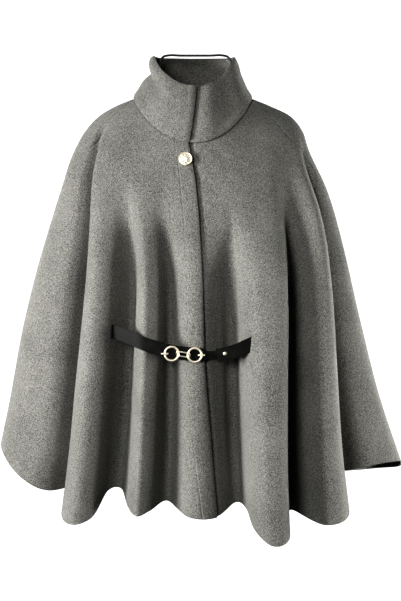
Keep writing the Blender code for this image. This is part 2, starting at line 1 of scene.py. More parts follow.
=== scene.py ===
"""Finished look of the wool poncho: cloth, collar, belt, clasp, button, hanger and studio.

Metres, +X to the viewer's right, +Y to the back, +Z up, origin in the middle of the hanger's bar.
The cloth follows surface(place, drop): place counts the fold rails round the body, and drop runs
from the neck seam (0) to the hem (1).
"""
from math import atan2, cos, pi, radians, sin

import bmesh
import bpy
import numpy as np
from mathutils import Matrix, Vector


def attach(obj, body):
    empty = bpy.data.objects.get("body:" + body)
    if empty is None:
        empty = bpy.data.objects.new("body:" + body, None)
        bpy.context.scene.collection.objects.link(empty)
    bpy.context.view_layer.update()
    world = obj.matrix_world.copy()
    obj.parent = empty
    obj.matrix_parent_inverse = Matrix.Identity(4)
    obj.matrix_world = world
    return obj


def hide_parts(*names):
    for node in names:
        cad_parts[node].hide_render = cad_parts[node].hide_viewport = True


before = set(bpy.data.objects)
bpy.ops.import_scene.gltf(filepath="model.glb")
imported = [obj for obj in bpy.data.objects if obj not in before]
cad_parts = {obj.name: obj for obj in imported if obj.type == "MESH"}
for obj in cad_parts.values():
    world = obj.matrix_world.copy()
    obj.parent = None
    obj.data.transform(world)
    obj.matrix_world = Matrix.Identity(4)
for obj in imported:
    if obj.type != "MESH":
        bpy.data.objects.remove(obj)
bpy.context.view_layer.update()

bl_info = {
    "name": "Wool poncho",
    "version": (1, 0, 0),
    "blender": (4, 5, 0),
    "location": "3D View > Sidebar > Poncho",
    "description": "Makes a hanging wool poncho with a funnel collar, a belt and its studio",
    "category": "Add Mesh",
}

# Sections of the body without its folds. drop is the share of the length from neck to hem.
SECTION_COLUMNS = ("drop", "left_x", "right_x", "side_y", "side_z", "front_y", "front_z", "back_y", "back_z")
SECTIONS = (
    (0.00, 0.115, 0.105, -0.005, -0.082, -0.095, -0.178, 0.055, -0.076),
    (0.05, 0.151, 0.142, 0.000, -0.096, -0.099, -0.212, 0.074, -0.106),
    (0.10, 0.183, 0.180, 0.000, -0.115, -0.103, -0.245, 0.088, -0.143),
    (0.15, 0.209, 0.203, 0.000, -0.143, -0.107, -0.279, 0.098, -0.180),
    (0.20, 0.229, 0.215, 0.002, -0.178, -0.110, -0.312, 0.105, -0.217),
    (0.30, 0.255, 0.249, 0.006, -0.250, -0.114, -0.380, 0.114, -0.293),
    (0.45, 0.288, 0.285, 0.012, -0.360, -0.119, -0.480, 0.123, -0.406),
    (0.65, 0.325, 0.324, 0.018, -0.510, -0.125, -0.615, 0.133, -0.557),
    (0.85, 0.353, 0.364, 0.025, -0.661, -0.130, -0.749, 0.142, -0.708),
    (1.00, 0.375, 0.399, 0.030, -0.765, -0.134, -0.850, 0.148, -0.820),
)
RIDGE_POWER = 1.5

# How softly a fold begins: the share of its length over which it opens
SOFT = 0.30
CRISP = 0.10

# Folds, from the viewer's left tip round the front, then the back
FOLD_COLUMNS = ("name", "top_deg", "low_deg", "hem_x", "hem_y", "hem_z", "start", "onset")
FOLDS = (
    ("left_tip", -90, -90, -0.375, 0.030, -0.740, 0.30, SOFT),
    ("left_wing", -84, -60, -0.322, -0.046, -0.797, 0.12, SOFT),
    ("left_wing_inner", -82, -51, -0.275, -0.050, -0.818, 0.10, CRISP),
    ("left_groove", -79, -44, -0.228, -0.016, -0.818, 0.06, CRISP),
    ("crest_1_edge", -75, -40, -0.243, -0.100, -0.850, 0.06, CRISP),
    ("crest_1", -66, -36, -0.220, -0.152, -0.862, 0.08, SOFT),
    ("crest_1_fall", -58, -30, -0.184, -0.138, -0.852, 0.10, SOFT),
    ("trough_1_foot", -53, -25, -0.160, -0.090, -0.813, 0.10, SOFT),
    ("trough_1", -48, -22, -0.136, -0.078, -0.810, 0.10, SOFT),
    ("crest_2_edge", -43, -19, -0.120, -0.128, -0.836, 0.10, SOFT),
    ("crest_2", -39, -16, -0.103, -0.160, -0.846, 0.10, SOFT),
    ("crest_2_fall", -33, -13, -0.081, -0.140, -0.840, 0.10, SOFT),
    ("trough_2", -22, -8, -0.051, -0.090, -0.830, 0.05, SOFT),
    ("crest_3", -6, -1, -0.010, -0.150, -0.850, 0.06, SOFT),
    ("front_edge", 2, 6, 0.040, -0.146, -0.850, 0.08, SOFT),
    ("trough_3", 18, 11, 0.073, -0.098, -0.832, 0.12, SOFT),
    ("crest_4_foot", 22, 13, 0.091, -0.124, -0.838, 0.12, SOFT),
    ("crest_4_rise", 26, 15, 0.104, -0.172, -0.867, 0.12, SOFT),
    ("crest_4", 33, 20, 0.134, -0.206, -0.889, 0.12, SOFT),
    ("crest_4_edge", 48, 24, 0.165, -0.184, -0.881, 0.12, SOFT),
    ("trough_4", 60, 26, 0.174, -0.074, -0.850, 0.05, SOFT),
    ("crest_5", 75, 36, 0.232, -0.152, -0.863, 0.08, SOFT),
    ("crest_5_edge", 82, 43, 0.279, -0.108, -0.849, 0.12, SOFT),
    ("right_groove", 85, 47, 0.262, -0.004, -0.800, 0.12, SOFT),
    ("right_wing", 88, 57, 0.332, -0.008, -0.778, 0.20, SOFT),
    ("right_tip", 92, 92, 0.400, 0.050, -0.784, 0.30, SOFT),
    ("back_crest_1", 108, 116, 0.354, 0.098, -0.798, 0.25, SOFT),
    ("back_trough_1", 124, 137, 0.276, 0.072, -0.800, 0.16, SOFT),
    ("back_crest_2", 138, 149, 0.205, 0.166, -0.816, 0.20, SOFT),
    ("back_trough_2", 151, 160, 0.138, 0.104, -0.812, 0.14, SOFT),
    ("back_crest_3", 165, 170, 0.068, 0.178, -0.826, 0.18, SOFT),
    ("back_trough_3", 177, 179, 0.002, 0.118, -0.818, 0.22, SOFT),
    ("back_crest_4", 190, 190, -0.070, 0.174, -0.824, 0.16, SOFT),
    ("back_trough_4", 203, 201, -0.136, 0.106, -0.812, 0.14, SOFT),
    ("back_crest_5", 217, 213, -0.204, 0.164, -0.814, 0.18, SOFT),
    ("back_trough_5", 235, 228, -0.276, 0.084, -0.798, 0.16, SOFT),
    ("back_crest_6", 253, 247, -0.346, 0.090, -0.776, 0.25, SOFT),
)
SWING_START = 0.05
SWING_LEFT = 0.17
SWING_RIGHT = 0.50

# Edges of the panels, as an angle on the body at each drop
CUT_COLUMNS = ("drop", "deg")
FRONT_EDGE = (
    (0.00, -6.0), (0.05, -2.0), (0.10, 0.0), (0.20, 1.9), (0.35, 3.0), (0.60, 3.6), (0.80, 5.0), (1.00, 6.0),
)
LEFT_SEAM = (
    (0.00, -84.0), (0.03, -78.0), (0.07, -72.0), (0.10, -69.0), (0.14, -67.0), (0.18, -69.5),
    (0.25, -75.0), (0.29, -80.0), (0.32, -91.0), (0.42, -98.0), (1.00, -98.0),
)
RIGHT_SEAM = (
    (0.00, 84.0), (0.03, 77.0), (0.07, 69.0), (0.10, 65.0), (0.14, 67.0), (0.19, 73.0),
    (0.24, 78.0), (0.28, 76.0), (1.00, 76.0),
)
# Where the right side seam runs into the groove beside the wing
GROOVE_MEETS_SEAM = 0.24
GROOVE_SEAM_LENGTH = 0.08
# The lap: how deep the cloth below it lies, how wide that cloth is, and its dip along the edge above
LAP_STEP = 0.0034
LAP_DEEP = 0.2
UNDERLAP = 0.030
EDGE_DIP = 0.0045
EDGE_DIP_WIDTH = 0.0075
NECK_GAP = 0.0003

# Distance from the front edge to the stitch line that holds its facing
STITCH_COLUMNS = ("drop", "away")
FACING_STITCH = ((0.00, 0.027), (0.50, 0.031), (0.70, 0.036), (0.85, 0.033), (1.00, 0.028))

# Columns of vertices near an edge, as distances from it, close together where the cloth rolls over
EDGE_STEPS = (0.0, 0.0004, 0.0010, 0.0018, 0.0028, 0.0042, 0.0062, 0.0090)
SEAM_HALF_GAP = 0.00012
# The same across the facing, as shares of the way to its stitch line
FACING_STEPS = (
    0.0, 0.015, 0.035, 0.06, 0.10, 0.16, 0.26, 0.40, 0.55, 0.70, 0.82, 0.90,
    0.94, 0.962, 0.978, 0.99, 1.0, 1.01, 1.022, 1.038, 1.06, 1.10, 1.16,
)

# Rows and columns of the panels' grids
NECK_ROWS = 6
HEM_ROWS = 5
EDGE_ROWS_DEPTH = 0.010
ROW_CROWDING = 1.5
ROW_SPREAD = 0.3
LEFT_WING_COLUMNS = 44
LEFT_FACING_COLUMNS = 14
UNDERLAP_COLUMNS = 9
OPENING_COLUMNS = 15
RIGHT_WING_COLUMNS = 30
BACK_END_COLUMNS = 18
# A distance at which nothing is left of what an edge does
FAR = 1.0

# How the cloth rolls into its seams and its front edge, and how the facing and its stitches dip
NECK_ROLL_WIDTH = 0.0030
SEAM_ROLL_WIDTH = 0.0026
FRONT_ROLL = 0.0012
FRONT_ROLL_WIDTH = 0.0022
FACING_END = 0.965
FACING_END_LENGTH = 0.05
STITCH_DEPTH = 0.0009
STITCH_WIDTH = 0.0010
STITCH_SWING = 0.35
CLOTH_RIM = 0.0009
COLLAR_RIM = 0.0018
CLOTH_RIM_DEG = 60.0

# How a crease is drawn and fades at its ends
CREASE_POINTS = 9
CREASE_END = 0.02
CREASE_TAPER = 0.8

# Small creases of the cloth: a line from one place and drop to another, its half width and
# how far it stands out (a trough where it is negative)
CREASES = (
    # name, first place and drop, last place and drop, half width, out
    ("under_button", 13.6, 0.06, 14.9, 0.16, 0.010, -0.0022),
    ("beside_button", 12.4, 0.05, 12.0, 0.17, 0.012, -0.0014),
    ("collar_bite", 14.4, 0.00, 15.6, 0.07, 0.009, -0.0020),
    ("chest_left", 9.4, 0.16, 10.4, 0.30, 0.016, 0.0016),
    ("chest_middle", 12.1, 0.19, 12.9, 0.34, 0.018, 0.0018),
    ("chest_right", 16.6, 0.14, 17.4, 0.30, 0.020, 0.0016),
    ("shoulder_right", 18.4, 0.04, 20.2, 0.13, 0.014, -0.0018),
    ("shoulder_left", 5.0, 0.05, 3.9, 0.17, 0.012, -0.0014),
    ("wing_left", 1.4, 0.30, 1.9, 0.62, 0.022, 0.0020),
    ("wing_left_low", 0.9, 0.60, 1.2, 0.93, 0.024, -0.0020),
    ("wing_right", 24.6, 0.45, 24.8, 0.85, 0.020, -0.0018),
    ("trough_1_deep", 7.9, 0.22, 8.0, 1.00, 0.011, -0.0060),
    ("trough_2_deep", 12.0, 0.30, 12.0, 1.00, 0.010, -0.0050),
    ("trough_3_deep", 15.0, 0.26, 15.0, 1.00, 0.014, -0.0070),
    ("trough_4_deep", 20.0, 0.24, 20.0, 1.00, 0.012, -0.0060),
    ("back_neck", 30.2, 0.02, 31.8, 0.05, 0.012, -0.0018),
    ("back_yoke_left", 33.4, 0.10, 34.2, 0.30, 0.020, 0.0018),
    ("back_yoke_right", 28.2, 0.12, 28.9, 0.33, 0.022, 0.0016),
    ("back_middle", 31.1, 0.16, 30.8, 0.42, 0.016, -0.0020),
    ("back_side_left", 35.6, 0.22, 35.9, 0.55, 0.020, 0.0018),
    ("back_side_right", 26.4, 0.26, 26.1, 0.60, 0.020, 0.0018),
)

# Collar, from the neck seam (rise 0) to the rim (rise 1)
COLLAR_COLUMNS = ("rise", "left_x", "right_x", "side_y", "side_z", "front_y", "front_z", "back_y", "back_z")
COLLAR = (
    (0.00, 0.1150, 0.1050, -0.005, -0.082, -0.095, -0.178, 0.055, -0.076),
    (0.20, 0.1045, 0.0945, -0.006, -0.066, -0.094, -0.157, 0.054, -0.060),
    (0.40, 0.0930, 0.0870, -0.006, -0.049, -0.092, -0.136, 0.052, -0.044),
    (0.55, 0.0805, 0.0825, -0.006, -0.038, -0.090, -0.120, 0.051, -0.032),
    (0.75, 0.0812, 0.0785, -0.006, -0.023, -0.086, -0.101, 0.049, -0.016),
    (0.90, 0.0812, 0.0745, -0.007, -0.013, -0.081, -0.084, 0.047, -0.005),
    (0.96, 0.0795, 0.0725, -0.008, -0.009, -0.079, -0.078, 0.046, 0.000),
    (1.00, 0.0755, 0.0700, -0.008, -0.007, -0.077, -0.074, 0.045, 0.003),
)
COLLAR_POWER = 1.35
COLLAR_LEFT_END = (-6.0, 1.0)
COLLAR_LAP = 16.0
COLLAR_SINK_DEG = 24.0
# Rows of the collar, close together at its foot and rim, and its columns, close together at its ends
COLLAR_FOOT_ROWS = (0.0, 0.006, 0.016, 0.032)
COLLAR_ROWS = np.linspace(0.055, 0.97, 40)
COLLAR_RIM_ROWS = (0.985, 1.0)
COLLAR_COLUMN_COUNT = 200
COLLAR_END_COLUMNS = (0.0006, 0.0013, 0.0022, 0.0034)
# The left end rolls out and then tucks in, and the right end dips beside it
COLLAR_END_SHARE = 0.1
COLLAR_ROLL = 0.0016
COLLAR_ROLL_AT = 0.0070
COLLAR_ROLL_WIDTH = 0.0040
COLLAR_TUCK = 0.0022
COLLAR_TUCK_WIDTH = 0.0028
COLLAR_DIP_DEG = 9.0
COLLAR_DIP_FOOT = 0.01
COLLAR_WAVE_FOOT = 0.02
# Waves of the collar's cloth: where each is, as degrees and rise, its half widths and how far out
COLLAR_WAVES = (
    ("left_tuck", -62.0, 0.42, 12.0, 0.42, -0.0045),
    ("left_roll", -80.0, 0.86, 16.0, 0.20, 0.0030),
    ("left_front_hollow", -40.0, 0.55, 10.0, 0.50, 0.0025),
    ("left_end_ridge", -15.0, 0.40, 6.0, 0.60, 0.0012),
    ("right_hollow", 41.0, 0.50, 17.0, 0.60, -0.0095),
    ("right_ridge", 66.0, 0.55, 12.0, 0.60, 0.0025),
    ("back_left_soft", -132.0, 0.50, 18.0, 0.60, -0.0020),
    ("back_middle_soft", 178.0, 0.45, 24.0, 0.50, 0.0018),
    ("back_right_soft", 128.0, 0.55, 16.0, 0.60, -0.0016),
)

# Belt
STRAP_COLUMNS = ("x", "y", "z", "width")
STRAP_WIDTH = 0.024
TONGUE_WIDTH = 0.0135
STRAP_COLUMN_COUNT = 70
STRAP_SHARES = (-1.0, -0.9, -0.6, -0.2, 0.2, 0.6, 0.9, 1.0)
STRAP_CROWN = 0.0002
STRAP_RIM = 0.0006
STRAP_RIM_DEG = 50.0
SLIT_ROOM = 0.0012
STRAP_LEFT_ROUTE = (
    (-0.1630, -0.1017, -0.5165, STRAP_WIDTH),
    (-0.1480, -0.1107, -0.5215, STRAP_WIDTH),
    (-0.1220, -0.1269, -0.5300, STRAP_WIDTH),
    (-0.1020, -0.1391, -0.5378, STRAP_WIDTH),
    (-0.0930, -0.1426, -0.5414, STRAP_WIDTH),
    (-0.0800, -0.1438, -0.5458, STRAP_WIDTH),
    (-0.0600, -0.1432, -0.5516, STRAP_WIDTH),
    (-0.0400, -0.1430, -0.5565, STRAP_WIDTH),
    (0.0000, -0.1430, -0.5610, STRAP_WIDTH),
    (0.0140, -0.1430, -0.5620, STRAP_WIDTH),
    (0.0215, -0.1430, -0.5620, TONGUE_WIDTH),
    (0.0400, -0.1432, -0.5610, TONGUE_WIDTH),
    (0.0620, -0.1436, -0.5585, TONGUE_WIDTH),
)
STRAP_RIGHT_ROUTE = (
    (0.0390, -0.1457, -0.5630, STRAP_WIDTH),
    (0.0600, -0.1461, -0.5585, STRAP_WIDTH),
    (0.0780, -0.1466, -0.5525, STRAP_WIDTH),
    (0.0915, -0.1470, -0.5460, STRAP_WIDTH),
    (0.1060, -0.1474, -0.5395, STRAP_WIDTH),
)

# Clasp
RING_RADIUS = 0.0122
RING_WIRE = 0.0020
RING_WIRE_SIDES = 20
RING_SIDES = 72
RING_CENTRES = {"ring_left": (-0.0417, -0.5595), "ring_right": (-0.0008, -0.5620)}
RING_DEPTH = -0.1496
CLASP_GAP = 0.0006
LINK_WIRE = 0.0012
LINK_TILT = 45.0
STAPLE_WIRE = 0.0016
STAPLE_SPAN = 0.0052
STAPLE_FOOT = -0.1444
STAPLE_CORNER = 0.3
RIVET_PLACE = (0.0530, -0.1461, -0.5595)
RIVET_SIDES = 32
RIVET_PROFILE = (
    (0.0000, 0.0026), (0.0012, 0.0025), (0.0022, 0.0021), (0.0029, 0.0016), (0.0031, 0.0012),
    (0.0034, 0.0011), (0.0035, 0.0008), (0.0034, 0.0004), (0.0030, 0.0003), (0.0000, 0.0003),
)

# Button
BUTTON_DROP = 0.047
BUTTON_DEG = -6.8
BUTTON_PROFILE = (
    (0.0000, 0.0070), (0.0020, 0.0070), (0.0042, 0.0067), (0.0064, 0.0062), (0.0082, 0.0055),
    (0.0094, 0.0048), (0.0099, 0.0045), (0.0103, 0.0048), (0.0107, 0.0054), (0.0112, 0.0057),
    (0.0118, 0.0055), (0.0123, 0.0049), (0.0125, 0.0040), (0.0124, 0.0028), (0.0119, 0.0017),
    (0.0105, 0.0009), (0.0080, 0.0005), (0.0000, 0.0005),
)
BUTTON_SIDES = 96
BUTTON_PETALS = 8
BUTTON_RELIEF = 0.0009
PETAL_RADIUS = 0.0055
PETAL_WIDTH = 0.0020

# Hanger
HANGER_RADIUS = 0.0022
HANGER_HALF = (
    (0.0270, 0.0000), (0.0540, 0.0000), (0.0620, -0.0030), (0.0665, -0.0110), (0.0685, -0.0240),
    (0.0690, -0.0420), (0.0700, -0.0600), (0.0735, -0.0730), (0.0820, -0.0810),
)
HANGER_ARM_DROPS = (0.03, 0.06, 0.09)
HANGER_CLEARANCE = 0.0045
CAD_CLOTH = 0.0024

# The floor, and how bright the white air is to the eye, in reflections and as light
FLOOR_RADIUS = 6.0
FLOOR_SIDES = 64
FLOOR_HEIGHT = -1.30
FLOOR_GLOW = 0.97
AIR_SEEN = 1.0
AIR_IN_GLOSS = 0.45
AIR_LIGHT = 0.03

CAMERA_LENS = 69.36
CAMERA_PLACE = (0.0095, -2.2, -0.4653)
CAMERA_TURN = (radians(90.0), 0.0, 0.0)

# Lights, and the columns of their table
LIGHTS = (
    # name, place, what it points at, size, spread in degrees, power
    ("key", (-2.34, -1.35, -0.40), (0.0, 0.0, -0.50), 0.8, 60.0, 11.6),
    ("front", (-0.92, -2.54, 0.10), (0.1, 0.0, -0.45), 0.9, 60.0, 3.8),
    ("kicker", (2.62, -0.60, -0.90), (0.15, 0.0, -0.72), 0.8, 34.0, 3.2),
    ("rear_key", (2.10, 1.80, -0.20), (0.0, 0.0, -0.50), 0.8, 60.0, 9.0),
    ("rear_fill", (-2.00, 2.00, -0.40), (0.0, 0.0, -0.50), 0.9, 60.0, 4.5),
)

# Small steps along the surface, in places or drops and in degrees, that give its directions
STEP = 0.001
FRAME_STEP = 0.01
TURN_STEP = 0.5
# How finely a place is looked for by its angle, and by its distance from an edge
SEARCH_PER_FOLD = 40
REACH_PLACES = 3.0
REACH_STEPS = 160
# Vertices closer than this are one
MERGE = 1e-6
MERGE_TURNED = 1e-5


def column(table, names, name):
    """One named column of a table, as an array."""
    return np.array([row[names.index(name)] for row in table], dtype=float)


def curve_through(knots, values, at):
    """A smooth curve through the values at the knots, read at each place in at."""
    slopes = np.gradient(values, knots)
    at = np.clip(at, knots[0], knots[-1])
    i = np.clip(np.searchsorted(knots, at, side="right") - 1, 0, len(knots) - 2)
    span = knots[i + 1] - knots[i]
    t = (at - knots[i]) / span
    rise = values[i + 1] - values[i]
    start = slopes[i] * span
    end = slopes[i + 1] * span
    return values[i] + t * (start + t * (3 * rise - 2 * start - end + t * (start + end - 2 * rise)))


def ease(t):
    """A soft step, from 0 at 0 to 1 at 1."""
    t = np.clip(t, 0.0, 1.0)
    return t * t * (3 - 2 * t)


def ring_point(table, names, deg, at, power):
    """The point of a ring of sections at an angle: 0 is the front, 90 the viewer's right."""
    knots = column(table, names, names[0])
    read = {name: curve_through(knots, column(table, names, name), at) for name in names[1:]}
    sine = np.sin(np.radians(deg))
    cosine = np.cos(np.radians(deg))
    front = cosine > 0
    reach = np.abs(cosine)
    x = sine * np.where(sine < 0, read["left_x"], read["right_x"])
    far_y = np.where(front, read["front_y"], read["back_y"])
    far_z = np.where(front, read["front_z"], read["back_z"])
    y = read["side_y"] + (far_y - read["side_y"]) * reach
    z = read["side_z"] + (far_z - read["side_z"]) * reach ** power
    return np.stack(np.broadcast_arrays(x, y, z), axis=-1)


FOLD_COUNT = len(FOLDS)
RAIL = {row[0]: k for k, row in enumerate(FOLDS)}
TOP_DEG, LOW_DEG, HEM_X, HEM_Y, HEM_Z, START, ONSET = (
    column(FOLDS, FOLD_COLUMNS, name) for name in FOLD_COLUMNS[1:]
)
SWINGS_LEFT = HEM_X < 0.0


def body_point(deg, drop):
    """A point of the body without its folds."""
    return ring_point(SECTIONS, SECTION_COLUMNS, deg, drop, RIDGE_POWER)


def unit(vectors):
    """Vectors of length 1 in the same directions."""
    return vectors / np.linalg.norm(vectors, axis=-1, keepdims=True)


def body_frame(deg, drop):
    """Directions out of the body, round it and down it, at a point without folds."""
    around = unit(body_point(deg + TURN_STEP, drop) - body_point(deg - TURN_STEP, drop))
    low = np.maximum(drop - FRAME_STEP, 0.0)
    high = np.minimum(drop + FRAME_STEP, 1.0)
    down = body_point(deg, high) - body_point(deg, low)
    out = unit(np.cross(down, around))
    return np.stack((out, around, np.cross(around, out)), axis=-2)


HEM_DROPS = np.ones(FOLD_COUNT)
HEM_MOVE = np.stack((HEM_X, HEM_Y, HEM_Z), axis=-1) - body_point(LOW_DEG, HEM_DROPS)
HEM_PULL = np.einsum("kij,kj->ki", body_frame(LOW_DEG, HEM_DROPS), HEM_MOVE)


def rail_weights(place):
    """The four fold rails round a place, and how much each counts."""
    first = np.floor(place).astype(int)
    t = place - first
    weights = (
        0.5 * (-t + 2 * t**2 - t**3),
        0.5 * (2 - 5 * t**2 + 3 * t**3),
        0.5 * (t + 4 * t**2 - 3 * t**3),
        0.5 * (-(t**2) + t**3),
    )
    return [(first - 1 + k, weights[k]) for k in range(4)]


def swing_at(drop, length):
    """How far a rail has moved from its shoulder angle to its hem angle."""
    fallen = np.maximum(drop - SWING_START, 0.0)
    return (1 - np.exp(-fallen / length)) / (1 - np.exp(-(1 - SWING_START) / length))


def angle_at(place, drop):
    """The angle on the body of a place between the fold rails."""
    total = 0.0
    for rail, weight in rail_weights(place):
        k = rail % FOLD_COUNT
        swing = np.where(SWINGS_LEFT[k], swing_at(drop, SWING_LEFT), swing_at(drop, SWING_RIGHT))
        turn = 360.0 * (rail // FOLD_COUNT)
        total = total + weight * (TOP_DEG[k] + (LOW_DEG[k] - TOP_DEG[k]) * swing + turn)
    return total


def fold_growth(start, onset, drop):
    """How far a fold has opened at a drop, 0 at its start and 1 at the hem."""
    t = np.clip((drop - start) / (1 - start), 0.0, 1.0)
    return (1 - (1 - t) ** 2) * ease(t / onset)


def surface(place, drop):
    """The outer face of the cloth: the body, pulled out, round and down by its folds."""
    place, drop = np.broadcast_arrays(np.asarray(place, float), np.asarray(drop, float))
    deg = angle_at(place, drop)
    pull = np.zeros(place.shape + (3,))
    for rail, weight in rail_weights(place):
        k = rail % FOLD_COUNT
        pull += (weight * fold_growth(START[k], ONSET[k], drop))[..., None] * HEM_PULL[k]
    return body_point(deg, drop) + np.einsum("...i,...ij->...j", pull, body_frame(deg, drop))


def outward(place, drop):
    """The direction straight out of the cloth."""
    low = np.maximum(drop - STEP, 0.0)
    high = np.minimum(drop + STEP, 1.0)
    across = surface(place + STEP, drop) - surface(place - STEP, drop)
    down = surface(place, high) - surface(place, low)
    return unit(np.cross(down, across))


def place_of(deg, drop):
    """The place between the fold rails that lies at an angle on the body."""
    places = np.linspace(0.0, FOLD_COUNT, FOLD_COUNT * SEARCH_PER_FOLD)
    return np.interp(deg, angle_at(places, drop), places)


def cut_line(table, drops):
    """The places along a panel's edge."""
    degrees = np.interp(drops, column(table, CUT_COLUMNS, "drop"), column(table, CUT_COLUMNS, "deg"))
    return np.array([place_of(deg, drop) for deg, drop in zip(degrees, drops)])


def places_from(edge, direction, drops, away):
    """Places at set distances along the cloth from an edge, one row of distances for each drop."""
    line = edge[:, None] + direction * np.linspace(0.0, REACH_PLACES, REACH_STEPS)[None, :]
    points = surface(line, drops[:, None])
    run = np.cumsum(np.linalg.norm(np.diff(points, axis=1), axis=-1), axis=1)
    run = np.hstack([np.zeros((len(drops), 1)), run])
    return np.array([np.interp(away[r], run[r], line[r]) for r in range(len(drops))])


def between(start, end, count):
    """Evenly spaced places in each row from one line to another, both left out."""
    shares = np.linspace(0.0, 1.0, count + 2)[1:-1]
    return start[:, None] + (end - start)[:, None] * shares[None, :]


def bump(distance, width):
    """A soft bell, 1 where the distance is 0."""
    return np.exp(-((distance / width) ** 2))


def crease_lift(points):
    """How far the creases lift each point."""
    lift = np.zeros(points.shape[:-1])
    shares = np.linspace(0.0, 1.0, CREASE_POINTS)
    for _, place_1, drop_1, place_2, drop_2, width, out in CREASES:
        line = surface(place_1 + (place_2 - place_1) * shares, drop_1 + (drop_2 - drop_1) * shares)
        nearest = np.full(points.shape[:-1], np.inf)
        share = np.zeros(points.shape[:-1])
        for n, (a, b) in enumerate(zip(line, line[1:])):
            along = b - a
            t = np.clip(((points - a) @ along) / (along @ along), 0.0, 1.0)
            distance = np.linalg.norm(points - (a + t[..., None] * along), axis=-1)
            share = np.where(distance < nearest, (n + t) / (CREASE_POINTS - 1), share)
            nearest = np.minimum(distance, nearest)
        share = np.clip(share, CREASE_END, 1 - CREASE_END)
        lift += out * bump(nearest, width) * np.sin(pi * share) ** CREASE_TAPER
    return lift


def panel_drops(sizes):
    """Drops of a panel's rows, close together at the neck seam and at the hem."""
    depth = EDGE_ROWS_DEPTH
    neck = depth * np.linspace(0.0, 1.0, NECK_ROWS, endpoint=False) ** ROW_CROWDING
    steps = np.linspace(0.0, 1.0, sizes.rows - NECK_ROWS - HEM_ROWS)
    middle = depth + (1 - 2 * depth) * (ROW_SPREAD * steps**2 + (1 - ROW_SPREAD) * steps)
    hem = 1 - depth * (1 - np.linspace(0.0, 1.0, HEM_ROWS + 1)[1:]) ** ROW_CROWDING
    return np.concatenate([neck, middle, hem])


# Meshes


def mesh_from(bm, name):
    """A mesh with what a bmesh holds. The bmesh is freed."""
    mesh = bpy.data.meshes.new(name)
    bm.to_mesh(mesh)
    bm.free()
    return mesh


def closed_up(bm, reach=MERGE):
    """Merges doubled vertices and turns the faces outwards."""
    bmesh.ops.remove_doubles(bm, verts=bm.verts, dist=reach)
    bmesh.ops.recalc_face_normals(bm, faces=bm.faces)


def grid_mesh(name, points):
    """A grid moved to its rows and columns of points."""
    rows, columns = points.shape[:2]
    bm = bmesh.new()
    bmesh.ops.create_grid(bm, x_segments=columns - 1, y_segments=rows - 1, size=0.5)
    mesh = mesh_from(bm, name)
    mesh.vertices.foreach_set("co", points.reshape(-1))
    mesh.update()
    return mesh


def linked(name, data):
    """An object in the scene that holds a mesh or a curve."""
    made = bpy.data.objects.new(name, data)
    bpy.context.collection.objects.link(made)
    return made


def shown(name, mesh, material):
    """A smooth object of one material."""
    mesh.materials.clear()
    mesh.materials.append(material)
    made = linked(name, mesh)
    mesh.shade_smooth()
    return made


def add_wall(made, thick, side):
    """Gives a sheet its thickness: side is -1 for inwards and 0 for both ways."""
    wall = made.modifiers.new("wall", "SOLIDIFY")
    wall.thickness = thick
    wall.offset = side


def add_rim(made, width, angle_deg):
    """Rounds the edges of a wall that turn by more than an angle."""
    rim = made.modifiers.new("rim", "BEVEL")
    rim.width = width
    rim.segments = 3
    rim.limit_method = "ANGLE"
    rim.angle_limit = radians(angle_deg)
    rim.profile = 0.5


def cloth_object(name, points, thick, rim_width):
    """A wall of cloth through rows and columns of points, thickened inwards."""
    made = shown(name, grid_mesh(name, points[::-1]), wool())
    add_wall(made, thick, -1.0)
    add_rim(made, rim_width, CLOTH_RIM_DEG)
    return made


def settle(made):
    """Applies a piece's modifiers, so that its mesh is what shows."""
    depsgraph = bpy.context.evaluated_depsgraph_get()
    mesh = bpy.data.meshes.new_from_object(made.evaluated_get(depsgraph), depsgraph=depsgraph)
    made.modifiers.clear()
    made.data = mesh
    return made


def finish_piece(made, node):
    """Stands a piece in for its CAD node, on the one body."""
    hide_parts(node)
    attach(made, "root")


# Materials


class Field:
    """A socket of a material, so that shader maths reads as plain expressions."""

    def __init__(self, tree, socket):
        self.tree = tree
        self.socket = socket

    def node(self, kind, settings=None, inputs=None, output=0):
        """Any node of the tree, with its settings first and then its sockets, as one of its outputs."""
        made = self.tree.nodes.new(kind)
        for name, value in (settings or {}).items():
            setattr(made, name, value)
        for name, value in (inputs or {}).items():
            if isinstance(value, Field):
                self.tree.links.new(value.socket, made.inputs[name])
            else:
                made.inputs[name].default_value = value
        return Field(self.tree, made.outputs[output])

    def maths(self, operation, first, second):
        return self.node("ShaderNodeMath", {"operation": operation}, {0: first, 1: second})

    def __add__(self, other):
        return self.maths("ADD", self, other)

    __radd__ = __add__

    def __sub__(self, other):
        return self.maths("SUBTRACT", self, other)

    def __rsub__(self, other):
        return self.maths("SUBTRACT", other, self)

    def __mul__(self, other):
        return self.maths("MULTIPLY", self, other)

    __rmul__ = __mul__

    def noise(self, scale, detail=2.0, roughness=0.5):
        """Soft noise, 0 to 1, on these coordinates."""
        inputs = {"Vector": self, "Scale": scale, "Detail": detail, "Roughness": roughness}
        return self.node("ShaderNodeTexNoise", {}, inputs)

    def stretched(self, scale):
        """These coordinates scaled on each axis."""
        return self.node("ShaderNodeMapping", {}, {"Vector": self, "Scale": scale})

    def ramp(self, low, high):
        """0 up to low, 1 from high on."""
        settings = {"interpolation_type": "SMOOTHSTEP"}
        return self.node("ShaderNodeMapRange", settings, {0: self, 1: low, 2: high})

    def between(self, low, high):
        """A colour between two, this field being how far."""
        settings = {"data_type": "RGBA"}
        return self.node("ShaderNodeMix", settings, {0: self, 6: low, 7: high}, output=2)


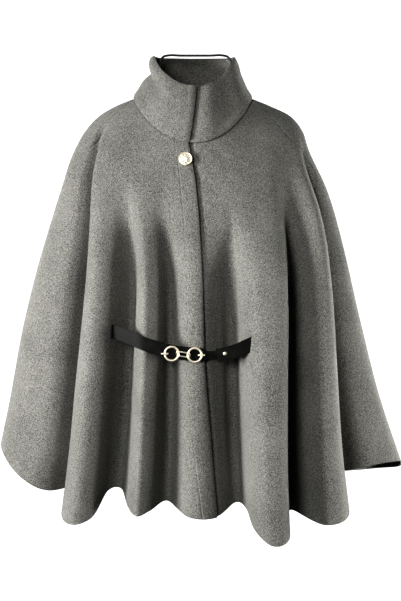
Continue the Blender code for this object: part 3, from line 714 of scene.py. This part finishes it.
def new_material(name):
    """A material, its Principled shader and its Object coordinates."""
    made = bpy.data.materials.new(name)
    made.use_nodes = True
    shader = made.node_tree.nodes["Principled BSDF"]
    start = Field(made.node_tree, None)
    coordinates = start.node("ShaderNodeTexCoord", output=3)
    return made, shader, coordinates


def drive(shader, name, field):
    """Lets a field drive one of a shader's sockets."""
    field.tree.links.new(field.socket, shader.inputs[name])


def plain(shader, values):
    """Sets the sockets that are the same all over the surface."""
    for name, value in values.items():
        shader.inputs[name].default_value = value


def raised(shader, height, strength, distance):
    """Relief on a shader, from a height field."""
    inputs = {"Strength": strength, "Distance": distance, "Height": height}
    drive(shader, "Normal", height.node("ShaderNodeBump", {}, inputs))


def shade(colour, factor):
    """A darker or paler shade of a colour."""
    return tuple(c * factor for c in colour) + (1.0,)


def mottled(field, low, high, colour, dark, pale):
    """A colour that goes from a dark to a pale shade of itself as the field rises."""
    return field.ramp(low, high).between(shade(colour, dark), shade(colour, pale))


def wool_material(props):
    """Grey melton: dark and pale fibres mixed, a short brushed nap and soft clouds of tone."""
    made, shader, where = new_material("melton")
    clouds = where.noise(scale=11.0, detail=1.0)
    flecks = where.noise(scale=640.0, detail=1.5, roughness=0.55)
    fibres = where.stretched((1.0, 1.0, 0.45)).noise(scale=1000.0, detail=2.0, roughness=0.6)
    pale_hairs = where.noise(scale=820.0, detail=1.0).ramp(0.60, 0.70)
    tone = flecks * 0.52 + fibres * 0.38 + clouds * 0.10
    base = mottled(tone, 0.38, 0.62, props.wool, dark=0.36, pale=1.62)
    drive(shader, "Base Color", (pale_hairs * 0.55).between(base, shade(props.wool, 2.8)))
    plain(shader, {
        "Roughness": 0.95, "Specular IOR Level": 0.18, "Sheen Weight": 0.22, "Sheen Roughness": 0.55,
        "Sheen Tint": (0.85, 0.84, 0.80, 1.0),
    })
    raised(shader, flecks * 0.6 + fibres * 0.4, strength=0.55, distance=0.0012)
    return made


def leather_material(props):
    """Black leather with a fine pebbled grain and a dull polish."""
    made, shader, where = new_material("strap leather")
    inputs = {"Vector": where, "Scale": 1100.0, "Smoothness": 0.6}
    grain = where.node("ShaderNodeTexVoronoi", {"feature": "SMOOTH_F1"}, inputs)
    wear = where.noise(scale=60.0, detail=3.0)
    drive(shader, "Base Color", mottled(wear, 0.35, 0.75, props.leather, dark=0.75, pale=1.7))
    drive(shader, "Roughness", wear * 0.20 + grain * 0.10 + 0.34)
    plain(shader, {"Specular IOR Level": 0.08})
    raised(shader, grain, strength=0.30, distance=0.0003)
    return made


def metal_material(props):
    """Pale gold plate with fine scratches and slightly dull patches."""
    made, shader, where = new_material("pale gold")
    scratches = where.stretched((6.0, 1.0, 1.0)).noise(scale=900.0, detail=2.0)
    patches = where.noise(scale=140.0, detail=2.0)
    drive(shader, "Base Color", mottled(patches, 0.3, 0.7, props.metal, dark=0.86, pale=1.06))
    drive(shader, "Roughness", patches * 0.14 + scratches * 0.10 + 0.33)
    plain(shader, {"Metallic": 1.0})
    raised(shader, scratches, strength=0.06, distance=0.0001)
    return made


def rod_material(props):
    """Black enamel on a steel rod, with a faint orange-peel."""
    made, shader, where = new_material("rod enamel")
    peel = where.noise(scale=700.0, detail=2.0)
    drive(shader, "Base Color", mottled(peel, 0.3, 0.7, props.rod, dark=0.8, pale=1.25))
    drive(shader, "Roughness", peel * 0.12 + 0.30)
    raised(shader, peel, strength=0.10, distance=0.0002)
    return made


def paper_material(props):
    """Matt white floor with a barely visible tooth, which looks white and lights nothing."""
    made, shader, where = new_material("studio paper")
    tooth = where.noise(scale=220.0, detail=2.0)
    drive(shader, "Base Color", mottled(tooth, 0.2, 0.8, props.paper, dark=0.02, pale=0.03))
    seen = where.node("ShaderNodeLightPath", output="Is Camera Ray")
    drive(shader, "Emission Color", seen.between((0.0, 0.0, 0.0, 1.0), (1.0, 1.0, 1.0, 1.0)))
    plain(shader, {"Emission Strength": FLOOR_GLOW, "Specular IOR Level": 0.0, "Roughness": 0.9})
    return made


def shared(name, maker):
    """A material that several pieces share, made the first time it is asked for."""
    found = bpy.data.materials.get(name)
    return found if found else maker(bpy.context.scene.poncho_colours)


def wool():
    return shared("melton", wool_material)


def leather():
    return shared("strap leather", leather_material)


def gold():
    return shared("pale gold", metal_material)


# Settings


COLOUR = {"subtype": "COLOR", "size": 3}
LENGTH = {"subtype": "DISTANCE", "unit": "LENGTH"}


class PonchoColours(bpy.types.PropertyGroup):
    """Colours of the cloth, belt, metal, hanger and floor."""

    wool: bpy.props.FloatVectorProperty(
        name="Wool", description="Mean colour of the cloth", default=(0.168, 0.166, 0.153), **COLOUR
    )
    leather: bpy.props.FloatVectorProperty(
        name="Leather", description="Colour of the belt", default=(0.008, 0.008, 0.0075), **COLOUR
    )
    metal: bpy.props.FloatVectorProperty(
        name="Metal", description="Colour of the clasp and button", default=(0.80, 0.745, 0.60), **COLOUR
    )
    rod: bpy.props.FloatVectorProperty(
        name="Rod", description="Colour of the hanger", default=(0.012, 0.012, 0.013), **COLOUR
    )
    paper: bpy.props.FloatVectorProperty(
        name="Floor", description="Colour of the floor", default=(0.93, 0.93, 0.93), **COLOUR
    )


class PonchoSizes(bpy.types.PropertyGroup):
    """Sizes of the cloth and belt that a user would change."""

    cloth: bpy.props.FloatProperty(
        name="Cloth", description="Thickness of the cloth", default=0.0024, **LENGTH
    )
    collar: bpy.props.FloatProperty(
        name="Collar", description="Thickness of the collar", default=0.0044, **LENGTH
    )
    seam_roll: bpy.props.FloatProperty(
        name="Seam roll", description="How far the cloth dips into its seams", default=0.0011, **LENGTH
    )
    facing: bpy.props.FloatProperty(
        name="Facing", description="How far the front facing stands out", default=0.0006, **LENGTH
    )
    stitch: bpy.props.FloatProperty(
        name="Stitch", description="Length of a stitch", default=0.0042, **LENGTH
    )
    strap: bpy.props.FloatProperty(
        name="Strap", description="Thickness of the belt's leather", default=0.0020, **LENGTH
    )
    rows: bpy.props.IntProperty(
        name="Rows", description="Rows of cloth from neck to hem", default=126, min=40
    )
    per_fold: bpy.props.IntProperty(
        name="Columns", description="Columns of cloth from fold to fold", default=8, min=2
    )


# Cloth


def cloth_points(places, drops, seam_distances, sink, sizes):
    """The points of a panel, with its creases and its edges rolled into the seams."""
    at = drops[:, None]
    points = surface(places, at)
    normals = outward(places, at)
    lift = crease_lift(points)
    neck_run = np.linalg.norm(points - surface(places, 0.0), axis=-1)
    lift -= sizes.seam_roll * bump(neck_run, NECK_ROLL_WIDTH)
    for away in seam_distances:
        lift -= sizes.seam_roll * bump(away, SEAM_ROLL_WIDTH)
    return points + normals * (lift - sink)[..., None], normals


def rail_line(rail, drops):
    """A fold rail, as its place in each row."""
    return np.full(len(drops), float(rail))


def even_columns(first, last, drops, sizes):
    """Columns between two fold rails, both of them included."""
    count = int(round((last - first) * sizes.per_fold))
    return np.tile(np.linspace(first, last, count + 1), (len(drops), 1))


def seam_lines(drops):
    """The places of both side seams."""
    left = cut_line(LEFT_SEAM, drops)
    right = cut_line(RIGHT_SEAM, drops)
    into_groove = ease((drops - GROOVE_MEETS_SEAM) / GROOVE_SEAM_LENGTH)
    return left, right + (RAIL["right_groove"] - right) * into_groove


def near_edge(edge, direction, drops):
    """Columns close to a seam edge, from left to right, and their distances from it."""
    away = np.tile(np.array(EDGE_STEPS) + SEAM_HALF_GAP, (len(drops), 1))
    places = places_from(edge, direction, drops, away)
    return places[:, ::direction], away[:, ::direction]


def distances(blocks, near, away):
    """Distances from an edge in all blocks of columns: known in the near one, far in the rest."""
    return np.hstack([away if block is near else np.full(block.shape, FAR) for block in blocks])


def stitch_dents(points, away, sizes):
    """The facing's stitch line: a soft trough with a dent at each stitch."""
    run = np.cumsum(np.linalg.norm(np.diff(points, axis=0, prepend=points[:1]), axis=-1), axis=0)
    dents = 1 - STITCH_SWING + STITCH_SWING * np.cos(2 * pi * run / sizes.stitch)
    return -STITCH_DEPTH * bump(away, STITCH_WIDTH) * dents


def under_lap(share):
    """How deep cloth lies under the lap: 1 at the lap's edge, 0 where the share reaches 1."""
    return 1 - ease((share - LAP_DEEP) / (1 - LAP_DEEP))


def make_front_left(sizes):
    """The left front, whose front edge lies on top and has a stitched facing."""
    drops = panel_drops(sizes)
    side, side_away = near_edge(seam_lines(drops)[0], 1, drops)
    knots = column(FACING_STITCH, STITCH_COLUMNS, "drop")
    stitch_at = np.interp(drops, knots, column(FACING_STITCH, STITCH_COLUMNS, "away"))[:, None]
    facing_away = stitch_at * np.array(FACING_STEPS)[None, ::-1]
    facing = places_from(cut_line(FRONT_EDGE, drops), -1, drops, facing_away)
    first, last = RAIL["crest_1"], RAIL["crest_2_fall"]
    wing = between(side[:, -1], rail_line(first, drops), LEFT_WING_COLUMNS)
    folds = even_columns(first, last, drops, sizes)
    inner = between(rail_line(last, drops), facing[:, 0], LEFT_FACING_COLUMNS)
    blocks = [side, wing, folds, inner, facing]
    from_edge = distances(blocks, facing, facing_away)
    from_seam = distances(blocks, side, side_away)
    points, normals = cloth_points(np.hstack(blocks), drops, [from_seam], 0.0, sizes)
    share = from_edge / stitch_at
    lift = sizes.facing * (1 - ease((share - FACING_END) / FACING_END_LENGTH))
    lift = lift - FRONT_ROLL * bump(from_edge, FRONT_ROLL_WIDTH)
    lift = lift + stitch_dents(points, (share - 1.0) * stitch_at, sizes)
    return points + normals * lift[..., None]


def make_front_right(sizes):
    """The right front, which sinks under the left one and ends in an underlap behind it."""
    drops = panel_drops(sizes)
    edge = cut_line(FRONT_EDGE, drops)
    first, last = RAIL["trough_3"], RAIL["trough_4"]
    trough = rail_line(first, drops)
    side, side_away = near_edge(seam_lines(drops)[1], -1, drops)
    under_end = places_from(edge, -1, drops, np.full((len(drops), 1), UNDERLAP))
    under = between(under_end[:, 0], edge, UNDERLAP_COLUMNS)
    opening = between(edge, trough, OPENING_COLUMNS)
    folds = even_columns(first, last, drops, sizes)
    wing = between(rail_line(last, drops), side[:, 0], RIGHT_WING_COLUMNS)
    blocks = [under_end, under, edge[:, None], opening, folds, wing, side]
    places = np.hstack(blocks)
    past_edge = (places - edge[:, None]) / (trough - edge)[:, None]
    from_edge = np.linalg.norm(surface(places, drops[:, None]) - surface(edge, drops)[:, None], axis=-1)
    sink = LAP_STEP * under_lap(past_edge) + EDGE_DIP * bump(from_edge, EDGE_DIP_WIDTH)
    return cloth_points(places, drops, [distances(blocks, side, side_away)], sink, sizes)[0]


def make_back(sizes):
    """The back, from the right side seam round to the left one."""
    drops = panel_drops(sizes)
    left, right = seam_lines(drops)
    start, start_away = near_edge(right, 1, drops)
    end, end_away = near_edge(left + FOLD_COUNT, -1, drops)
    first, last = RAIL["right_tip"], FOLD_COUNT - 1
    start_side = between(start[:, -1], rail_line(first, drops), BACK_END_COLUMNS)
    folds = even_columns(first, last, drops, sizes)
    end_side = between(rail_line(last, drops), end[:, 0], BACK_END_COLUMNS)
    blocks = [start, start_side, folds, end_side, end]
    seams = [distances(blocks, start, start_away), distances(blocks, end, end_away)]
    return cloth_points(np.hstack(blocks), drops, seams, 0.0, sizes)[0]


def collar_point(deg, rise):
    """The collar's outer face, its foot drawn to the neck seam."""
    point = ring_point(COLLAR, COLLAR_COLUMNS, deg, rise, COLLAR_POWER)
    foot = body_point(deg, np.zeros_like(rise))
    foot_here = ring_point(COLLAR, COLLAR_COLUMNS, deg, np.zeros_like(rise), COLLAR_POWER)
    point = point + (foot - foot_here) * ((1 - rise) ** 2)[..., None]
    point[..., 2] += NECK_GAP * (1 - rise)
    return point


def collar_normal(deg, rise):
    """The direction straight out of the collar."""
    low = np.maximum(rise - STEP, 0.0)
    high = np.minimum(rise + STEP, 1.0)
    around = collar_point(deg + TURN_STEP, rise) - collar_point(deg - TURN_STEP, rise)
    up = collar_point(deg, high) - collar_point(deg, low)
    return unit(np.cross(around, up))


def collar_waves(deg, rise):
    """The soft hollows and ridges of the collar's cloth."""
    lift = np.zeros(np.broadcast(deg, rise).shape)
    for _, centre_deg, centre_rise, half_deg, half_rise, out in COLLAR_WAVES:
        turn = (deg - centre_deg + 180.0) % 360.0 - 180.0
        lift += out * bump(turn, half_deg) * bump(rise - centre_rise, half_rise)
    return lift


def make_collar(sizes):
    """Rows from the neck seam to the rim, columns from the right end under the lap to the left end."""
    rises = np.concatenate([COLLAR_FOOT_ROWS, COLLAR_ROWS, COLLAR_RIM_ROWS])
    start = COLLAR_LEFT_END[0] + (COLLAR_LEFT_END[1] - COLLAR_LEFT_END[0]) * rises[:, None]
    end = start - 360.0 - COLLAR_LAP
    shares = np.linspace(0.0, 1.0, COLLAR_COLUMN_COUNT)
    shares = np.sort(np.concatenate([shares, COLLAR_END_COLUMNS]))[None, ::-1]
    deg = start + (end - start) * shares
    rise = np.broadcast_to(rises[:, None], deg.shape)
    points = collar_point(deg, rise)
    past_end = deg + 360.0 - start
    under = under_lap(past_end / COLLAR_SINK_DEG)
    foot_run = np.linalg.norm(points - points[:1], axis=-1)
    end_run = np.linalg.norm(points - points[:, -1:], axis=-1)
    end_run = np.where(shares < COLLAR_END_SHARE, end_run, FAR)
    beside_end = np.where(deg < -180.0, past_end, 90.0)
    lift = collar_waves(deg, rise) * ease(foot_run / COLLAR_WAVE_FOOT) * (1 - under)
    lift -= EDGE_DIP * bump(beside_end, COLLAR_DIP_DEG) * ease(foot_run / COLLAR_DIP_FOOT)
    lift += COLLAR_ROLL * bump(end_run - COLLAR_ROLL_AT, COLLAR_ROLL_WIDTH)
    lift -= COLLAR_TUCK * bump(end_run, COLLAR_TUCK_WIDTH)
    lift -= LAP_STEP * under + sizes.seam_roll * bump(foot_run, NECK_ROLL_WIDTH)
    return points + collar_normal(deg, rise) * lift[..., None]


# Belt and metal


def strap_points(route, width=None):
    """A grid along a strap's route, slightly crowned. A given width stands in for the route's own."""
    knots = column(route, STRAP_COLUMNS, "x")
    x = np.unique(np.concatenate([np.linspace(knots[0], knots[-1], STRAP_COLUMN_COUNT), knots]))
    y, z = (curve_through(knots, column(route, STRAP_COLUMNS, name), x) for name in ("y", "z"))
    centre = np.stack([x, y, z], axis=-1)
    along = unit(np.gradient(centre, axis=0))
    across = unit(np.array((0.0, 0.0, 1.0)) - along * along[:, 2:3])
    out = np.cross(along, across)
    widths = np.interp(x, knots, column(route, STRAP_COLUMNS, "width"))
    if width is not None:
        widths = np.full(len(x), width)
    shares = np.array(STRAP_SHARES)
    points = centre[None] + across[None] * (shares[:, None] * widths[None] / 2)[..., None]
    return points + out[None] * (STRAP_CROWN * (1 - shares**2))[:, None, None]


def strap_object(name, route, thick):
    """A strap of leather along a route, with rounded edges."""
    made = shown(name, grid_mesh(name, strap_points(route)), leather())
    add_wall(made, thick, 0.0)
    add_rim(made, STRAP_RIM, STRAP_RIM_DEG)
    return settle(made)


def cut_slit(made, route, thick):
    """Cuts the slit where a strap passes through a panel."""
    cutter = linked("slit", grid_mesh("slit", strap_points(route, STRAP_WIDTH + SLIT_ROOM)))
    add_wall(cutter, thick + SLIT_ROOM, 0.0)
    cut = made.modifiers.new("slit", "BOOLEAN")
    cut.operation = "DIFFERENCE"
    cut.solver = "EXACT"
    cut.object = cutter
    settle(made)
    bpy.data.objects.remove(cutter, do_unlink=True)


def rod_object(name, points, radius, material, closed=False):
    """A smooth round rod through points."""
    curve = bpy.data.curves.new(name, "CURVE")
    curve.dimensions = "3D"
    curve.bevel_depth = radius
    curve.bevel_resolution = 6
    curve.use_fill_caps = not closed
    spline = curve.splines.new("BEZIER")
    spline.bezier_points.add(len(points) - 1)
    for knot, point in zip(spline.bezier_points, points):
        knot.co = point
        knot.handle_left_type = "AUTO"
        knot.handle_right_type = "AUTO"
    spline.use_cyclic_u = closed
    spline.resolution_u = 6
    drawn = linked(name + "_route", curve)
    depsgraph = bpy.context.evaluated_depsgraph_get()
    mesh = bpy.data.meshes.new_from_object(drawn.evaluated_get(depsgraph), depsgraph=depsgraph)
    bpy.data.objects.remove(drawn, do_unlink=True)
    bpy.data.curves.remove(curve)
    bm = bmesh.new()
    bm.from_mesh(mesh)
    closed_up(bm)
    bm.to_mesh(mesh)
    bm.free()
    return shown(name, mesh, material)


def turned(profile, sides):
    """A round piece turned from radius and height pairs, top first."""
    bm = bmesh.new()
    spine = [bm.verts.new((radius, 0.0, height)) for radius, height in profile]
    edges = [bm.edges.new(pair) for pair in zip(spine, spine[1:])]
    bmesh.ops.spin(
        bm, geom=spine + edges, axis=(0, 0, 1), cent=(0, 0, 0), angle=2 * pi, steps=sides, use_merge=True
    )
    closed_up(bm, MERGE_TURNED)
    return bm


def placed(name, bm, point, normal, material):
    """A turned piece set on a surface."""
    turn = normal.to_track_quat("Z", "Y").to_matrix().to_4x4()
    bmesh.ops.transform(bm, matrix=Matrix.Translation(point) @ turn, verts=bm.verts)
    return shown(name, mesh_from(bm, name), material)


def ring_object(name, centre, material):
    """A plain round ring: a wire section spun round its centre."""
    x, z = centre
    bm = bmesh.new()
    bmesh.ops.create_circle(bm, cap_ends=False, radius=RING_WIRE, segments=RING_WIRE_SIDES)
    bmesh.ops.translate(bm, verts=bm.verts, vec=(RING_RADIUS, 0.0, 0.0))
    bmesh.ops.spin(
        bm, geom=bm.verts[:] + bm.edges[:], axis=(0, 1, 0), cent=(0, 0, 0), angle=2 * pi, steps=RING_SIDES,
        use_merge=True,
    )
    closed_up(bm)
    bmesh.ops.translate(bm, verts=bm.verts, vec=(x, RING_DEPTH, z))
    return shown(name, mesh_from(bm, name), material)


def link_route(steps=10):
    """A tilted oval that passes in front of and behind the inner side of each ring."""
    (left_x, left_z), (right_x, right_z) = RING_CENTRES.values()
    inner_left = left_x + RING_RADIUS
    inner_right = right_x - RING_RADIUS
    middle = Vector(((inner_left + inner_right) / 2, RING_DEPTH, (left_z + right_z) / 2))
    past = RING_WIRE + LINK_WIRE + CLASP_GAP
    tilt = radians(LINK_TILT)
    half_width = past / sin(tilt)
    across = Vector((0.0, -sin(tilt), cos(tilt)))
    along = Vector((inner_right - inner_left, 0.0, right_z - left_z)).normalized()
    straight = (inner_right - inner_left) / 2
    points = []
    for side in (1, -1):
        for n in range(steps + 1):
            turn = pi * n / steps - pi / 2
            out = along * (straight + past * cos(turn)) + across * (half_width * sin(turn))
            points.append(middle + side * out)
    return points


def staple_route(x, z):
    """A square bow over a ring's wire, with both feet on the strap."""
    bend = STAPLE_WIRE
    crown = RING_DEPTH - RING_WIRE - CLASP_GAP - bend
    half = (
        (STAPLE_SPAN, STAPLE_FOOT),
        (STAPLE_SPAN, (STAPLE_FOOT + crown + bend) / 2),
        (STAPLE_SPAN, crown + bend),
        (STAPLE_SPAN - bend * STAPLE_CORNER, crown + bend * STAPLE_CORNER),
        (STAPLE_SPAN - bend, crown),
    )
    left = [(x - away, y, z) for away, y in half]
    right = [(x + away, y, z) for away, y in reversed(half)]
    return left + [(x, crown, z)] + right


def hanger_route():
    """The rod: a flat top bar, down inside the collar and out under the shoulders."""
    right = [Vector((x, 0.0, z)) for x, z in HANGER_HALF]
    left = [Vector((-x, 0.0, z)) for x, z in HANGER_HALF]
    sunk = CAD_CLOTH + HANGER_CLEARANCE + HANGER_RADIUS
    for drop in HANGER_ARM_DROPS:
        for arm, deg in ((right, 90.0), (left, -90.0)):
            at = np.array(drop)
            ridge = body_point(np.array(deg), at)
            ahead = body_point(np.array(deg), at + FRAME_STEP)
            along = Vector(ahead - ridge).normalized()
            below = along.cross(Vector((0.0, np.sign(deg), 0.0))).normalized()
            if below.z > 0:
                below = -below
            arm.append(Vector(ridge) + below * sunk)
    route = list(reversed(left)) + right
    for point in route:
        point.y = 0.0
    return route


# Operators


class PONCHO_OT_fronts(bpy.types.Operator):
    """Makes both front panels, with the slits that the belt passes through"""

    bl_idname = "poncho.fronts"
    bl_label = "Front panels"

    def execute(self, context):
        sizes = context.scene.poncho_sizes
        left = cloth_object("poncho_front_left", make_front_left(sizes), sizes.cloth, CLOTH_RIM)
        cut_slit(left, STRAP_LEFT_ROUTE[:3], sizes.strap)
        finish_piece(left, "front_left")
        right = cloth_object("poncho_front_right", make_front_right(sizes), sizes.cloth, CLOTH_RIM)
        cut_slit(right, STRAP_RIGHT_ROUTE[-3:], sizes.strap)
        finish_piece(right, "front_right")
        return {"FINISHED"}


class PONCHO_OT_back(bpy.types.Operator):
    """Makes the back panel, which comes over the shoulders"""

    bl_idname = "poncho.back"
    bl_label = "Back panel"

    def execute(self, context):
        sizes = context.scene.poncho_sizes
        back = settle(cloth_object("poncho_back", make_back(sizes), sizes.cloth, CLOTH_RIM))
        finish_piece(back, "back")
        return {"FINISHED"}


class PONCHO_OT_collar(bpy.types.Operator):
    """Makes the funnel collar, its left end lapped over its right"""

    bl_idname = "poncho.collar"
    bl_label = "Collar"

    def execute(self, context):
        sizes = context.scene.poncho_sizes
        collar = settle(cloth_object("poncho_collar", make_collar(sizes), sizes.collar, COLLAR_RIM))
        finish_piece(collar, "collar")
        return {"FINISHED"}


class PONCHO_OT_belt(bpy.types.Operator):
    """Makes the two leather straps and the stud that joins them"""

    bl_idname = "poncho.belt"
    bl_label = "Belt"

    def execute(self, context):
        sizes = context.scene.poncho_sizes
        for name, route, node in (
            ("belt_strap_left", STRAP_LEFT_ROUTE, "strap_left"),
            ("belt_strap_right", STRAP_RIGHT_ROUTE, "strap_right"),
        ):
            finish_piece(strap_object(name, route, sizes.strap), node)
        stud = turned(RIVET_PROFILE, RIVET_SIDES)
        foot = Vector(RIVET_PLACE) + Vector((0.0, -sizes.strap / 2, 0.0))
        finish_piece(placed("belt_stud", stud, foot, Vector((0.0, -1.0, 0.0)), gold()), "rivet")
        return {"FINISHED"}


class PONCHO_OT_clasp(bpy.types.Operator):
    """Makes the belt's two rings, the link between them and their staples"""

    bl_idname = "poncho.clasp"
    bl_label = "Clasp"

    def execute(self, context):
        for name, centre in RING_CENTRES.items():
            finish_piece(ring_object("clasp_" + name, centre, gold()), name)
        link = rod_object("clasp_link", link_route(), LINK_WIRE, gold(), closed=True)
        finish_piece(link, "link")
        for name, node, ring, out in (
            ("clasp_staple_left", "staple_left", "ring_left", -RING_RADIUS),
            ("clasp_staple_right", "staple_right", "ring_right", RING_RADIUS),
        ):
            x, z = RING_CENTRES[ring]
            staple = rod_object(name, staple_route(x + out, z), STAPLE_WIRE, gold())
            finish_piece(staple, node)
        return {"FINISHED"}


class PONCHO_OT_button(bpy.types.Operator):
    """Makes the domed metal button at the top of the front edge"""

    bl_idname = "poncho.button"
    bl_label = "Button"

    def execute(self, context):
        at = np.array(BUTTON_DROP)
        place = place_of(BUTTON_DEG, BUTTON_DROP)
        point = Vector(surface(place, at))
        normal = Vector(outward(np.array(place), at))
        bm = turned(BUTTON_PROFILE, BUTTON_SIDES)
        for vertex in bm.verts:
            radius = vertex.co.xy.length
            petals = cos(BUTTON_PETALS * atan2(vertex.co.y, vertex.co.x))
            vertex.co.z += BUTTON_RELIEF * petals * float(bump(radius - PETAL_RADIUS, PETAL_WIDTH))
        button = placed("poncho_button", bm, point, normal, gold())
        finish_piece(button, "button")
        return {"FINISHED"}


class PONCHO_OT_hanger(bpy.types.Operator):
    """Makes the black rod hanger"""

    bl_idname = "poncho.hanger"
    bl_label = "Hanger"

    def execute(self, context):
        enamel = rod_material(context.scene.poncho_colours)
        finish_piece(rod_object("rod_hanger", hanger_route(), HANGER_RADIUS, enamel), "hanger")
        return {"FINISHED"}


def area_light(name, place, target, size, spread, watts):
    """A square soft light that the camera doesn't see."""
    lamp = bpy.data.lights.new(name, "AREA")
    lamp.energy = watts
    lamp.size = size
    lamp.spread = radians(spread)
    made = linked(name, lamp)
    made.location = place
    made.rotation_euler = (Vector(target) - Vector(place)).to_track_quat("-Z", "Y").to_euler()
    made.visible_camera = False


def white_air():
    """A world that is white to the camera, and weaker in reflections and as light."""
    world = bpy.data.worlds.new("studio_air")
    world.use_nodes = True
    air = world.node_tree.nodes["Background"].inputs
    air["Color"].default_value = (1.0, 1.0, 1.0, 1.0)
    start = Field(world.node_tree, None)
    seen = start.node("ShaderNodeLightPath", output="Is Camera Ray")
    shiny = start.node("ShaderNodeLightPath", output="Is Glossy Ray")
    strength = seen * AIR_SEEN + shiny * AIR_IN_GLOSS + AIR_LIGHT
    world.node_tree.links.new(strength.socket, air["Strength"])
    return world


class PONCHO_OT_studio(bpy.types.Operator):
    """Makes the pale floor, the white air, the soft lights and the camera"""

    bl_idname = "poncho.studio"
    bl_label = "Studio"

    def execute(self, context):
        bm = bmesh.new()
        bmesh.ops.create_circle(bm, cap_ends=True, radius=FLOOR_RADIUS, segments=FLOOR_SIDES)
        bmesh.ops.translate(bm, verts=bm.verts, vec=(0.0, 0.0, FLOOR_HEIGHT))
        paper = paper_material(context.scene.poncho_colours)
        floor = shown("studio_floor", mesh_from(bm, "studio_floor"), paper)
        for light in LIGHTS:
            area_light(*light)
        context.scene.world = white_air()
        context.scene.view_settings.view_transform = "Standard"
        context.scene.view_settings.look = "High Contrast"
        camera = bpy.data.cameras.new("camera")
        camera.lens = CAMERA_LENS
        camera.dof.use_dof = False
        stand = linked("camera", camera)
        stand.location = CAMERA_PLACE
        stand.rotation_euler = CAMERA_TURN
        context.scene.camera = stand
        return {"FINISHED"}


class PONCHO_PT_panel(bpy.types.Panel):
    """Lists the poncho's pieces in the sidebar"""

    bl_idname = "PONCHO_PT_panel"
    bl_label = "Wool poncho"
    bl_space_type = "VIEW_3D"
    bl_region_type = "UI"
    bl_category = "Poncho"

    def draw(self, context):
        layout = self.layout
        for group in (context.scene.poncho_colours, context.scene.poncho_sizes):
            for name in group.__annotations__:
                layout.prop(group, name)
        for operator in OPERATORS:
            layout.operator(operator.bl_idname)


OPERATORS = (
    PONCHO_OT_fronts, PONCHO_OT_back, PONCHO_OT_collar, PONCHO_OT_belt, PONCHO_OT_clasp, PONCHO_OT_button,
    PONCHO_OT_hanger, PONCHO_OT_studio,
)
CLASSES = (PonchoColours, PonchoSizes) + OPERATORS + (PONCHO_PT_panel,)


def register():
    for one in CLASSES:
        bpy.utils.register_class(one)
    bpy.types.Scene.poncho_colours = bpy.props.PointerProperty(type=PonchoColours)
    bpy.types.Scene.poncho_sizes = bpy.props.PointerProperty(type=PonchoSizes)


def unregister():
    del bpy.types.Scene.poncho_sizes
    del bpy.types.Scene.poncho_colours
    for one in reversed(CLASSES):
        bpy.utils.unregister_class(one)


def main():
    register()
    bpy.ops.poncho.fronts()
    bpy.ops.poncho.back()
    bpy.ops.poncho.collar()
    bpy.ops.poncho.belt()
    bpy.ops.poncho.clasp()
    bpy.ops.poncho.button()
    bpy.ops.poncho.hanger()
    bpy.ops.poncho.studio()


if __name__ == "__main__":
    main()
